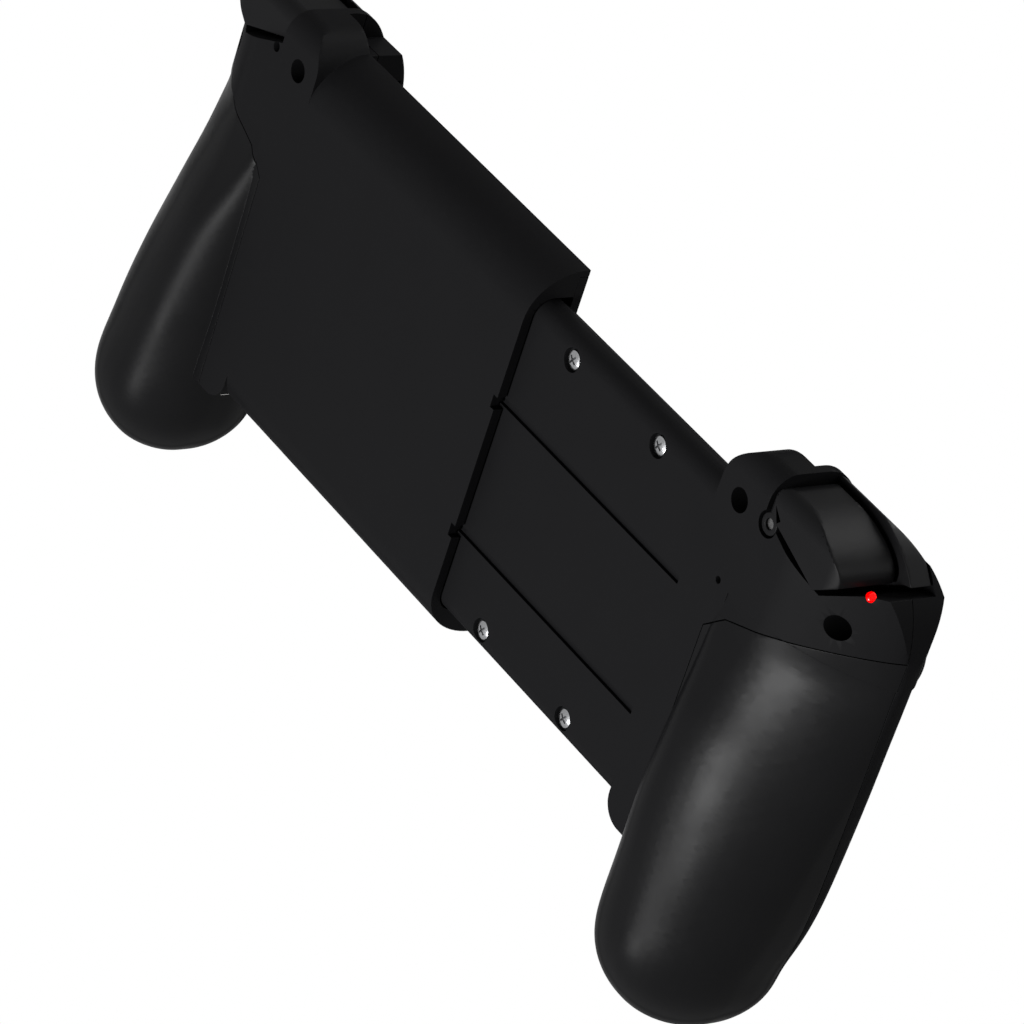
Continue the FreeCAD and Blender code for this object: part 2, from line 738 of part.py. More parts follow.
tray_back = size("sleeve_wall + slide_gap")
tray_front = size("sleeve_depth - sleeve_wall - slide_gap")
tray_half = size("tray_half")
edge_round = (size("tray_edge"), size("tray_edge"), CIRCLE)
tray_end = size("mouth + tray_engaged")
tray_block = drawn("tray_block", prism([(-tray_half, tray_back), (tray_half, tray_back),
                                        (tray_half, tray_front), (-tray_half, tray_front)],
                                       [edge_round] * 4, "yz", -size("module_inner + 3"), tray_end))
tray_hollow = box("tray_hollow",
                  ("-module_inner - 4", "-tray_half + tray_skin", "sleeve_wall + slide_gap + tray_skin"),
                  ("mouth + tray_engaged - tray_skin", "tray_half - tray_skin", "sleeve_depth"))
cover_top = "sleeve_depth - sleeve_wall - slide_gap"
cover_seat = box("cover_seat", ("-module_inner", "-tray_half + cover_inset", cover_top + " - cover_thick"),
                 ("mouth + tray_engaged + 1", "tray_half - cover_inset", "sleeve_depth"))
grooves = [box(f"groove_{word}_cut", ("groove_end", f"groove_{word} - 0.5*groove_width", "0"),
               ("mouth + tray_engaged + 1", f"groove_{word} + 0.5*groove_width",
                "sleeve_wall + slide_gap + groove_depth")) for word in ("high", "low")]

tray_places = [(x, sign + "tray_screw_out") for x in ("tray_screw_near", "tray_screw_far")
               for sign in ("", "-")]
recess_floor = "sleeve_wall + slide_gap + screw_recess_depth"
recesses = []
shank_holes = []
tray_bosses = []
cover_bosses = []
cover_bores = []
tray_screw_parts = []
for i, (x, y) in enumerate(tray_places):
    recesses.append(rod(f"recess_{i}", (x, y, "0"), "screw_recess", recess_floor))
    shank_holes.append(rod(f"shank_hole_{i}", (x, y, "0"), "screw_shank + screw_gap", "6"))
    tray_bosses.append(rod(f"tray_boss_{i}", (x, y, "sleeve_wall + slide_gap + tray_skin - 0.2"),
                           "screw_shank + boss_wall", "1.2"))
    cover_bosses.append(rod(f"cover_boss_{i}", (x, y, "sleeve_wall + slide_gap + tray_skin + 1.1"),
                            "screw_shank + boss_wall", "3.1"))
    cover_bores.append(rod(f"cover_bore_{i}", (x, y, "sleeve_wall"), "screw_shank + screw_gap", "6.2"))
    tray_screw_parts.append(rod(f"tray_screw_head_{i}", (x, y, recess_floor + " - screw_head_thick"),
                                "screw_head", "screw_head_thick"))
    tray_screw_parts.append(rod(f"tray_screw_shank_{i}", (x, y, recess_floor + " - 0.1"), "screw_shank",
                                "4.4"))

left_rear = mirrored("left_rear_shell_mirrored", rear_shell("left"))
pinhole = rod("pinhole", ("pinhole_x", "pinhole_y", "0"), "pinhole_radius", "6")
tray_base = cut("tray_base", tray_block, tray_hollow, cover_seat)
ribbon_mouth = box("ribbon_mouth", ("-module_inner - 4", "-7", "sleeve_wall + slide_gap + tray_skin"),
                   ("-module_inner + 2", "7", "8"))
tray_solid = fuse("tray_solid", tray_base, left_rear, *tray_bosses)
lamp_way = vector(*LAMP_WAY).normalize()
lamp_start = vector(size("-lamp_x"), size("lamp_y"), size("lamp_z")) - lamp_way * size("lamp_length")
lamp_hole = drawn("lamp_hole", Part.makeCylinder(size("lamp_radius + screw_gap"), 2 * size("lamp_length"),
                                                 lamp_start - lamp_way * size("screw_gap"), lamp_way))
tray_housing = cut("tray_housing", tray_solid, ribbon_mouth, pinhole, lamp_hole, *grooves, *recesses,
                   *shank_holes)

cover_plate = box("cover_plate", ("-module_inner + cover_gap", "-tray_half + cover_inset + cover_gap",
                                  cover_top + " - cover_thick"),
                  ("mouth + tray_engaged", "tray_half - cover_inset - cover_gap", cover_top))
cover_solid = fuse("cover_solid", cover_plate, *cover_bosses)
tray_cover = cut("tray_cover", cover_solid, *cover_bores)
tray_screws = fuse("tray_screws", *tray_screw_parts)

# Front housings with their holes.

pad = {"right": jaw_pad_block, "left": mirrored("left_jaw_pad", jaw_pad_block)}
stick_place = {"right": ("stick_x", "stick_low"), "left": ("stick_x", "stick_high")}
small_names = {"right": ("menu_button", "home_button"), "left": ("view_button", "share_button")}
face_centres = {
    "top": ("face_x", "face_y + face_pitch"),
    "bottom": ("face_x", "face_y - face_pitch"),
    "inner": ("face_x - face_pitch", "face_y"),
    "outer": ("face_x + face_pitch", "face_y"),
}


def stick_hole(side):
    x, y = stick_place[side]
    hole = rod(f"{side}_stick_hole", (x, y, "part_level"), "stick_hole", "front_level")
    flare = document.addObject("Part::Cone", f"{side}_stick_flare")
    for letter, text in zip("xyz", (x, y, "front_level - 1.2")):
        flare.setExpression(f"Placement.Base.{letter}", bound(text))
    flare.setExpression("Radius1", bound("stick_hole"))
    flare.setExpression("Radius2", bound("stick_hole + 1.3"))
    flare.setExpression("Height", "1.3")
    return [hole, flare]


def small_holes(side):
    return [rod(f"{name}_hole", ("small_x", y, "part_level"), "small_radius + button_gap", "front_level")
            for name, y in zip(small_names[side], ("small_high", "small_low"))]


right_holes = stick_hole("right") + small_holes("right")
for word, (x, y) in face_centres.items():
    right_holes.append(rod(f"face_hole_{word}", (x, y, "part_level"), "face_radius + button_gap",
                           "front_level"))
right_front_housing = cut("right_front_housing", front_shell("right"), *right_holes)

dpad_holes = []
for name, reach_x, reach_y in (("wide", "dpad_reach", "dpad_arm"), ("tall", "dpad_arm", "dpad_reach")):
    dpad_holes.append(box(f"dpad_hole_{name}",
                          (f"dpad_x - {reach_x} - dpad_gap", f"dpad_y - {reach_y} - dpad_gap", "part_level"),
                          (f"dpad_x + {reach_x} + dpad_gap", f"dpad_y + {reach_y} + dpad_gap",
                           "front_level + 1")))
left_front = cut("left_front_right_handed", front_shell("left"), *stick_hole("left"), *small_holes("left"),
                 *dpad_holes)
left_front_housing = mirrored("left_front_housing", left_front)

right_grip_cover = grip_cover("right_grip_cover", "right")
left_grip_cover = mirrored("left_grip_cover", grip_cover("left_grip_cover_right_handed", "left"))

# Triggers and bumpers: the room above the deck, turned back by each one's own stroke.

pin_point = vector(size("pin_x"), size("pin_y"), 0)


def paddle(name, turn, low, high, outline):
    """A paddle that clears the deck by the moving gap when it is pressed home."""
    clear = deck_space(-size("moving_gap"), low, high)
    clear.rotate(pin_point, vector(0, 0, 1), turn)
    still = deck_space(-size("moving_gap"), low, high)
    plate = outline.common(clear).common(still)
    barrel = Part.makeCylinder(size("barrel_radius"), high - low, vector(size("pin_x"), size("pin_y"), low))
    bore = Part.makeCylinder(size("pin_radius + pin_fit"), high - low + 2,
                             vector(size("pin_x"), size("pin_y"), low - 1))
    return plate.fuse(barrel).cut(bore).removeSplitter()


trigger_low = size("shell_wall + 0.7")
trigger_high = size("trigger_front")
trigger_tip = size("deck_out_x - 1.7")
trigger_side = prism([(size("zone_inner"), trigger_low), (size("half_width"), trigger_low),
                      (size("half_width"), trigger_high), (size("zone_inner"), trigger_high)],
                     [(1.5, 1.5, CIRCLE), (13, 11, 0.42), None, None], "xz", 20, size("trigger_top"))
trigger_plan = prism([(size("zone_inner"), 20), (trigger_tip, 20), (trigger_tip, size("trigger_top")),
                      (size("zone_inner"), size("trigger_top"))],
                     [None, None, (15, 6.5, 0.6), (3, 1.5, CIRCLE)], "xy", trigger_low, trigger_high)
trigger_rise = prism([(20, trigger_low), (size("trigger_top"), trigger_low),
                      (size("trigger_top"), trigger_high), (20, trigger_high)],
                     [None, (3.2, 3.2, CIRCLE), (0.6, 0.6, CIRCLE), None],
                     "yz", size("zone_inner"), size("half_width"))
trigger_outline = trigger_plan.common(trigger_side).common(trigger_rise)
trigger_shape = paddle("trigger", size("trigger_turn"), trigger_low, trigger_high, trigger_outline)
trigger = drawn("trigger_form", trigger_shape)
bumper_low = size("bumper_back")
bumper_high = size("zone_front - 0.5")
bumper_outline = module_form(0.25, 0.0).common(
    prism([(0, 0), (FAR, 0), (FAR, FAR), (0, FAR)], [None] * 4, "xy", bumper_low, bumper_high))
bumper = drawn("bumper_form", paddle("bumper", size("bumper_turn"), bumper_low, bumper_high, bumper_outline))

# Springs under the triggers, between the cup's floor and the trigger's underside.

def under_trigger(x):
    """Height of the trigger's underside at rest, above the deck's inner slope."""
    slope = size("deck_low_y - deck_inner") / size("deck_low_x - zone_inner")
    deck = size("deck_inner") + (x - size("zone_inner")) * slope
    return deck + size("moving_gap") + (x - size("pin_x")) * math.tan(math.radians(size("trigger_turn")))


spring_low = size("spring_cup_floor + spring_wire + seat_gap")
spring_top = under_trigger(size("spring_x + spring_radius + spring_wire")) - size("seat_gap + spring_wire")
spring_pitch = (spring_top - spring_low) / 5
helix = Part.makeHelix(spring_pitch, spring_top - spring_low, size("spring_radius"))
helix_start = Part.Wire(Part.makeCircle(size("spring_wire"), vector(size("spring_radius"), 0, 0),
                                        vector(0, 1, 0)))
spring_shape = Part.Wire(helix.Edges).makePipeShell([helix_start], True, True)
spring_shape.rotate(vector(0, 0, 0), vector(1, 0, 0), -90)
spring_shape.translate(vector(size("spring_x"), spring_low, size("spring_z")))
spring = drawn("spring_form", spring_shape)


def pair(name, source):
    """The right-hand piece and its left-hand twin."""
    source.Label = f"right_{name}"
    return [source, mirrored(f"left_{name}", source)]


case_screws = fuse("case_screw_set", *case_screw_parts)
pairs = []
for name, source in (("trigger", trigger), ("bumper", bumper), ("shoulder_pin", shoulder_pin),
                     ("trigger_spring", spring), ("bumper_switch", bumper_switch),
                     ("case_screws", case_screws)):
    pairs += pair(name, source)

# Jaw pads.

right_jaw_pad = pad["right"]
right_jaw_pad.Label = "right_jaw_pad"

# Circuit boards, thumb sticks, pad and buttons.


def rod_at(side, name, place, radius, length, axis="z"):
    """A rod along Z or Y at a place given for the right hand, moved to its own side."""
    x, y, z = place
    thing = rod(name, ("jaw_face", y, z), radius, length, axis)
    thing.setExpression("Placement.Base.x", ("" if side == "right" else "-1 * ") + f"({bound(x)})")
    return thing


def bar_at(side, name, start, y, radius, length):
    """A rod along X at the stick's pivot, from a start given for the right hand, moved to its own side."""
    thing = rod(name, ("jaw_face", y, "stick_pivot"), radius, length, "x")
    left_start = f"-1 * ({bound(start)} + {bound(length)})"
    thing.setExpression("Placement.Base.x", bound(start) if side == "right" else left_start)
    return thing


def box_at(side, name, low, high):
    """A box given for the right hand, moved to its own side."""
    thing = box(name, low, high)
    if side == "left":
        thing.setExpression("Placement.Base.x", f"-1 * ({bound(high[0])})")
    return thing


board_top = "board_level + board_thick"
boards = []
for side in ("right", "left"):
    plate = box_at(side, f"{side}_board_plate", ("board_inner", "board_low", "board_level"),
                   ("half_width - board_side", "board_high", board_top))
    corner_cut = box_at(side, f"{side}_board_corner", ("board_notch_x", "board_notch_y", "board_level - 1"),
                        ("half_width - board_side + 1", "board_high + 1", board_top + " + 1"))
    boards.append(cut(f"{side}_circuit_board", plate, corner_cut))


def stick_base(side, x, y):
    """The steel shell on the board, with a bearing hole on each side."""
    reach = "stick_base_half"
    inside = "(stick_base_half - stick_base_wall)"
    shell = box_at(side, f"{side}_stick_box", (f"{x} - {reach}", f"{y} - {reach}", board_top),
                   (f"{x} + {reach}", f"{y} + {reach}", "front_level - shell_wall - stick_base_gap"))
    hollow = box_at(side, f"{side}_stick_hollow",
                    (f"{x} - {inside}", f"{y} - {inside}", board_top + " + stick_base_floor"),
                    (f"{x} + {inside}", f"{y} + {inside}", "front_level"))
    bearing = bar_at(side, f"{side}_stick_bearing", f"{x} - {reach} - 1", y, "stick_axle + pin_fit",
                     f"2*{reach} + 2")
    return cut(f"{side}_stick_base", shell, hollow, bearing)


def stick_yoke(side, x, y):
    """A square frame with an axle to each side, bored across for the post's cross pin."""
    inside = "(yoke_half - yoke_bar)"
    outer = box_at(side, f"{side}_yoke_outer",
                   (f"{x} - yoke_half", f"{y} - yoke_half", "stick_pivot - yoke_bar"),
                   (f"{x} + yoke_half", f"{y} + yoke_half", "stick_pivot + yoke_bar"))
    inner = box_at(side, f"{side}_yoke_inner",
                   (f"{x} - {inside}", f"{y} - {inside}", "stick_pivot - 2*yoke_bar"),
                   (f"{x} + {inside}", f"{y} + {inside}", "stick_pivot + 2*yoke_bar"))
    bore = rod_at(side, f"{side}_yoke_bore", (x, f"{y} - yoke_half - 1", "stick_pivot"),
                  "stick_axle + pin_fit", "2*yoke_half + 2", "y")
    axle = "stick_base_half - yoke_half + axle_root"
    axles = [bar_at(side, f"{side}_yoke_axle_a", f"{x} - stick_base_half", y, "stick_axle", axle),
             bar_at(side, f"{side}_yoke_axle_b", f"{x} + yoke_half - axle_root", y, "stick_axle", axle)]
    return fuse(f"{side}_stick_yoke", cut(f"{side}_yoke_frame", outer, inner, bore), *axles)


def stick_post(side, x, y):
    """A post on a cross pin that turns in the yoke."""
    core = rod_at(side, f"{side}_post_core", (x, y, "stick_pivot - post_core_rise"), "post_core",
                  "2*post_core_rise")
    cross = rod_at(side, f"{side}_post_cross", (x, f"{y} - yoke_half + 0.1", "stick_pivot"), "stick_axle",
                   "2*yoke_half - 0.2", "y")
    upright = rod_at(side, f"{side}_post_upright", (x, y, "stick_pivot"), "post_radius",
                     "stick_top - stick_pivot - cap_roof")
    return fuse(f"{side}_stick_post", core, cross, upright)


def stick_cap(side, x, y):
    """A dished cap on a stem, with a round skirt that closes the housing's hole."""
    dish = rod_at(side, f"{side}_cap_dish", (x, y, "stick_top - cap_thick"), "stick_dish", "cap_thick")
    stem = rod_at(side, f"{side}_cap_stem", (x, y, "stick_pivot + skirt_low"), "stick_stem",
                  "stick_top - stick_pivot - skirt_low - scoop_depth - seat_gap")
    socket = rod_at(side, f"{side}_cap_socket", (x, y, "stick_pivot + skirt_low - 0.4"),
                    "post_radius + pin_fit",
                    "stick_top - stick_pivot - skirt_low + 0.4 - cap_roof + stick_click + seat_gap")
    middle_x = size(x) if side == "right" else -size(x)
    ball = size("scoop_radius")
    scoop = drawn(f"{side}_cap_scoop", Part.makeSphere(
        ball, vector(middle_x, size(y), size("stick_top") + ball - size("scoop_depth"))))
    skirt_ball = Part.makeSphere(size("skirt_radius"), vector(middle_x, size(y), size("stick_pivot")))
    block = 4 * size("skirt_radius")
    below = Part.makeBox(block, block, block, vector(middle_x - block / 2, size(y) - block / 2,
                                                     size("stick_pivot + skirt_low") - block))
    skirt = drawn(f"{side}_cap_skirt", skirt_ball.cut(below))
    return cut(f"{side}_stick_cap", fuse(f"{side}_cap_solid", dish, stem, skirt), scoop, socket)


sticks = []
for side, (x, y) in stick_place.items():
    sticks += [stick_base(side, x, y), stick_yoke(side, x, y), stick_post(side, x, y), stick_cap(side, x, y)]

face_buttons = []
domes = []
for word, (x, y) in face_centres.items():
    body = rod(f"face_body_{word}", (x, y, board_top + " + face_lift"), "face_radius",
               f"front_level - ({board_top}) - face_lift + face_rise")
    flange = rod(f"face_flange_{word}", (x, y, "front_level - shell_wall - face_flange_drop"),
                 "face_radius + face_flange", "face_flange_thick")
    document.recompute()
    button = fuse(f"face_solid_{word}", body, flange)
    crown = size("front_level + face_rise")
    face_buttons.append(rounded_edges(f"face_button_{word}", button, "face_edge",
                                      lambda edge: edge.BoundBox.ZMin > crown - 0.01))
    domes.append(rod(f"face_dome_{word}", (x, y, board_top), "2.6", "1.6"))
face_strips = []
for word, reach_x, reach_y in (("wide", "face_pitch + 3.6", "4"), ("tall", "4", "face_pitch + 3.6")):
    low_x, low_y = reach_x.replace("+", "-"), reach_y.replace("+", "-")
    face_strips.append(box(f"face_strip_{word}", (f"face_x - {low_x}", f"face_y - {low_y}", board_top),
                           (f"face_x + {reach_x}", f"face_y + {reach_y}", board_top + " + 0.6")))
face_membrane = fuse("face_membrane", *face_strips, *domes)

small_buttons = []
for side in ("right", "left"):
    for name, y in zip(small_names[side], ("small_high", "small_low")):
        body = rod_at(side, f"{name}_body", ("small_x", y, board_top + " + 1.2"), "small_radius",
                      "front_level - board_level - board_thick - 1.2 + small_rise")
        flange = rod_at(side, f"{name}_flange", ("small_x", y, "front_level - shell_wall - 1"),
                        "small_radius + small_flange", "small_flange_thick")
        small_buttons.append(fuse(name, body, flange))

dpad_bars = []
for name, reach_x, reach_y in (("wide", "dpad_reach", "dpad_arm"), ("tall", "dpad_arm", "dpad_reach")):
    dpad_bars.append(box_at("left", f"dpad_bar_{name}",
                            (f"dpad_x - {reach_x}", f"dpad_y - {reach_y}", board_top + " + dpad_lift"),
                            (f"dpad_x + {reach_x}", f"dpad_y + {reach_y}", "front_level + dpad_rise")))
dpad_bore = rod_at("left", "dpad_bore", ("dpad_x", "dpad_y", board_top), "dpad_post + moving_gap",
                   "dpad_post_high + 2*seat_gap")
dpad_cap = cut("dpad_cap", fuse("dpad_cross", *dpad_bars), dpad_bore)
dpad_pivot = rod_at("left", "dpad_pivot", ("dpad_x", "dpad_y", board_top + " + seat_gap"), "dpad_post",
                    "dpad_post_high")
dpad_sheet = box_at("left", "dpad_sheet",
                    ("dpad_x - dpad_reach - 0.6", "dpad_y - dpad_reach - 0.6", board_top),
                    ("dpad_x + dpad_reach + 0.6", "dpad_y + dpad_reach + 0.6", board_top + " + 0.6"))
dpad_sheet_hole = rod_at("left", "dpad_sheet_hole", ("dpad_x", "dpad_y", "board_level"),
                         "dpad_post + moving_gap", "4")
dpad_domes = []
dome_places = (("dpad_x + dpad_dome_out", "dpad_y"), ("dpad_x - dpad_dome_out", "dpad_y"),
               ("dpad_x", "dpad_y + dpad_dome_out"), ("dpad_x", "dpad_y - dpad_dome_out"))
for i, (x, y) in enumerate(dome_places):
    dpad_domes.append(rod_at("left", f"dpad_dome_{i}", (x, y, board_top), "2.2", "1.5"))
dpad_membrane = cut("dpad_membrane", fuse("dpad_membrane_solid", dpad_sheet, *dpad_domes), dpad_sheet_hole)

# Battery cell in the right handle, on the inside of the front housing's board.

battery_cell = box("battery_cell",
                   ("stick_x - 0.5*battery_width", "battery_low", "board_level - seat_gap - battery_thick"),
                   ("stick_x + 0.5*battery_width", "battery_low + battery_length", "board_level - seat_gap"))

# Charging socket with its open mouth at the right module's lower side.

def socket_box(name, inset, mouth, end, half_width, half_length):
    """A box on the socket's axis, drawn in by an inset."""
    return box(name, (f"socket_x - {half_width} + {inset}", mouth, f"socket_level - {half_length} + {inset}"),
               (f"socket_x + {half_width} - {inset}", end, f"socket_level + {half_length} - {inset}"))


socket_end = "low_edge + socket_depth"
socket_outer = socket_box("socket_outer", "socket_fit", "low_edge + seat_gap", socket_end,
                          "socket_half_width", "socket_half_length")
socket_inner = socket_box("socket_inner", "socket_wall", "low_edge - 1", socket_end + " - 1",
                          "socket_half_width", "socket_half_length")
socket_tongue = socket_box("socket_tongue", "0", "low_edge + tongue_start", socket_end,
                           "tongue_half_thick", "tongue_half_width")
charging_socket = fuse("charging_socket", cut("socket_shell", socket_outer, socket_inner), socket_tongue)

# Ribbon between the halves, from the tray's end to the right module through the channel.

link_ribbon = box("link_ribbon", ("mouth + tray_engaged", "-ribbon_half", "sleeve_wall + 0.05"),
                  ("module_inner + 3.2", "ribbon_half", "sleeve_wall + ribbon_thick"))

# Status lamp in the left module, and the reset switch behind its pinhole.

status_lamp = drawn("status_lamp", Part.makeCylinder(size("lamp_radius"), size("lamp_length + lamp_proud"),
                                                     lamp_start, lamp_way))
reset_block = box("reset_block", ("pinhole_x - 1.6", "pinhole_y - 1.6", "board_level - 4"),
                  ("pinhole_x + 1.6", "pinhole_y + 1.6", "board_level"))
reset_stud = rod("reset_stud", ("pinhole_x", "pinhole_y", "board_level - 5"), "1.2", "1.2")
reset_switch = fuse("reset_switch", reset_block, reset_stud)

pieces = [
    sleeve_housing, sleeve_bed_plate, right_front_housing, right_grip_cover, right_jaw_pad,
    tray_housing, tray_cover, tray_screws, left_front_housing, left_grip_cover, pad["left"],
    *pairs, *boards, *sticks, *face_buttons, face_membrane, *small_buttons,
    dpad_cap, dpad_pivot, dpad_membrane, battery_cell, charging_socket, link_ribbon, status_lamp,
    reset_switch,
]

document.recompute()
faults = [thing.Name for thing in document.Objects if "Invalid" in thing.State or "Error" in thing.State]
for piece in pieces:
    if piece.Shape.isNull() or not piece.Shape.isValid() or not piece.Shape.Solids:
        faults.append(piece.Label)
if faults:
    raise RuntimeError("failed: " + ", ".join(faults))

# The controller lies on the backs of its handles, and its origin is under the middle of its box.

bounds = [piece.Shape.optimalBoundingBox(False) for piece in pieces]
rise = -min(b.ZMin for b in bounds)
shift_y = -(min(b.YMin for b in bounds) + max(b.YMax for b in bounds)) / 2
shift_x = -(min(b.XMin for b in bounds) + max(b.XMax for b in bounds)) / 2
print("stand", round(shift_x, 5), round(shift_y, 5), round(rise, 5))
print("box", [round(v, 3) for v in (max(b.XMax for b in bounds) - min(b.XMin for b in bounds),
                                    max(b.YMax for b in bounds) - min(b.YMin for b in bounds),
                                    max(b.ZMax for b in bounds) - min(b.ZMin for b in bounds))])
for piece in pieces:
    shape = piece.Shape.copy()
    shape.translate(vector(shift_x, shift_y, rise))
    shape.exportStep(f"parts/{piece.Label}.step")
    print(piece.Label, "volume", round(shape.Volume, 1), "solids", len(shape.Solids))
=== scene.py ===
"""Dresses a telescopic game controller: its shells, grips, controls, screws and lamp."""

import json
import math

import bmesh
import bpy
from bpy.props import FloatProperty, FloatVectorProperty, IntProperty, PointerProperty
from mathutils import Matrix, Vector
from mathutils.bvhtree import BVHTree

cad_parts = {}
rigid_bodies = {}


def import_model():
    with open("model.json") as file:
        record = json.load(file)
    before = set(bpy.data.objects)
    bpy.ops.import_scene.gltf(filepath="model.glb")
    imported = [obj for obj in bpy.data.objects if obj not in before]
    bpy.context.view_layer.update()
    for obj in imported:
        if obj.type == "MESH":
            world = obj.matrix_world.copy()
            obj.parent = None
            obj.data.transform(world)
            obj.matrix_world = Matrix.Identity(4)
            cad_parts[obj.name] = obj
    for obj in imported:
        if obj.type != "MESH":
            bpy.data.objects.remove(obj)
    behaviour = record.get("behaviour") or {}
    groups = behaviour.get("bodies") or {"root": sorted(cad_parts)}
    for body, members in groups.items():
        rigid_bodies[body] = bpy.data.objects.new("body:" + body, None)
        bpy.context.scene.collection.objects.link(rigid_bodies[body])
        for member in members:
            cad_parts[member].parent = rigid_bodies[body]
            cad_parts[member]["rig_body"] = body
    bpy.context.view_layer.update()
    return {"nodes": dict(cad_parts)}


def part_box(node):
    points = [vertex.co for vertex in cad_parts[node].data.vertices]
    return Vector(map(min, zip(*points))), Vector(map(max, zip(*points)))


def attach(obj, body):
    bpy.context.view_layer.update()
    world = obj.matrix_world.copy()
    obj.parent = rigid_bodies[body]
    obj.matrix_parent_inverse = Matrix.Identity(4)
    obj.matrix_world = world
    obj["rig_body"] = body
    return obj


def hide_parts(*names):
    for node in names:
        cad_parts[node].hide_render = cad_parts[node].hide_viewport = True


bl_info = {
    "name": "Game controller looks",
    "version": (1, 0, 0),
    "blender": (4, 5, 0),
    "location": "3D View > Sidebar > Controller",
    "description": "Builds the visible pieces of a telescopic game controller around its packed model",
    "category": "Object",
}

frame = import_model()

MM = 0.001
SIDES = {"right": 1, "left": -1}

# Points closer than this are one point.
MERGE = 0.002 * MM
# Faces within this angle are one flat.
FLAT = math.radians(0.02)
# Edges over this angle are sharp.
SHARP = math.radians(40)
# How far a bevel's point may lie off the surface, as a share of the bevel's width.
STRAY = 0.45


# Sizes and colours

def linear(code):
    """The linear red, green, blue and alpha of an sRGB colour such as #1f1f20."""
    shares = [int(code[i:i + 2], 16) / 255 for i in (1, 3, 5)]
    return [c / 12.92 if c <= 0.04045 else ((c + 0.055) / 1.055) ** 2.4 for c in shares] + [1.0]


def length(name, description, millimetres):
    return FloatProperty(name=name, description=description, default=millimetres * MM, precision=5,
                         unit="LENGTH")


def angle(name, description, degrees):
    return FloatProperty(name=name, description=description, default=math.radians(degrees), unit="ROTATION")


def colour(name, description, code):
    return FloatVectorProperty(name=name, description=description, default=linear(code), size=4,
                               min=0, max=1, subtype="COLOR")


class ControllerShellSizes(bpy.types.PropertyGroup):
    """Sizes of what is worked on the moulded shells."""

    housing_edge: length("Housing edge", "Radius along the edges of the sleeve and the housings", 0.06)
    cover_edge: length("Grip edge", "Radius along the seam of each grip cover", 0.08)
    lever_edge: length("Lever edge", "Radius along the edges of triggers and bumpers", 0.2)
    edge_steps: IntProperty(name="Edge steps", description="Faces across a rounded edge", default=2, min=1)
    pad_rib: length("Pad rib pitch", "Distance from one rib of a jaw pad to the next", 2.4)
    pad_groove: length("Pad groove", "Depth of the grooves between the ribs of a jaw pad", 0.45)
    pad_slope: length("Pad slope", "Width of the sloping side of a groove in a jaw pad", 0.25)
    pad_edge: length("Rib edge", "Radius along the ribs of a jaw pad", 0.12)


class ControllerControlSizes(bpy.types.PropertyGroup):
    """Sizes of the sticks, buttons, pad and screws."""

    knurls: IntProperty(name="Knurls", description="Ribs round the edge of a stick cap", default=36, min=8)
    knurl_depth: length("Knurl depth", "Depth between two ribs of a stick cap", 0.28)
    knurl_slope: length("Knurl slope", "Width of the sloping side of a rib of a stick cap", 0.12)
    cap_thick: length("Cap thickness", "Thickness of a stick cap at its edge", 3.4)
    cap_dish: length("Cap dish", "Depth of the hollow in a stick cap", 1.25)
    cap_rim: length("Cap rim", "Width of the raised rim of a stick cap", 1.5)
    cap_edge: length("Cap edge", "Radius along the edges of a stick cap", 0.5)
    stem_radius: length("Stem radius", "Radius of the stem under a stick cap", 4.5)
    skirt_radius: length("Skirt radius", "Radius of the ball-shaped skirt under a stick cap", 5.9)
    skirt_lip: length("Skirt lip", "Height of the skirt's steep lower lip", 0.7)
    skirt_rise: length("Skirt rise", "Height over which the skirt runs into the stem", 2.0)
    face_radius: length("Face button", "Radius of a face button", 4.3)
    face_dome: length("Face button dome", "Rise of a face button's crown", 0.55)
    small_radius: length("Small button", "Radius of a small button", 2.0)
    small_dome: length("Small button dome", "Rise of a small button's crown", 0.25)
    button_edge: length("Button edge", "Radius where a button's wall meets its crown", 0.3)
    flange_drop: length("Flange drop", "Depth of the flange's top under the housing's face", 2.2)
    flange_thick: length("Flange thickness", "Thickness of the flange that holds a button in", 0.8)
    dpad_arm: length("Pad arm", "Half the width of one arm of the directional pad", 3.6)
    dpad_dish: length("Pad dish", "Depth of the hollow in the middle of the directional pad", 0.9)
    dpad_edge: length("Pad edge", "Radius along the edges of the directional pad", 0.5)
    tray_head: length("Tray screw head", "Radius of the head of a tray screw", 1.75)
    case_head: length("Case screw head", "Radius of the head of a case screw", 2.1)
    head_dome: length("Screw dome", "Rise of a screw head's crown", 0.35)
    head_thick: length("Screw head", "Thickness of a screw head at its edge", 0.45)
    shank_radius: length("Screw shank", "Radius of a screw's shank", 0.95)
    recess_width: length("Recess width", "Width of one slot of the cross recess", 0.42)
    recess_depth: length("Recess depth", "Depth of the cross recess", 0.55)
    recess_turn: angle("Recess turn", "Turn of the cross recess about the screw's axis", 35)
    lens_rise: length("Lens rise", "Height of the lamp's domed end", 0.35)


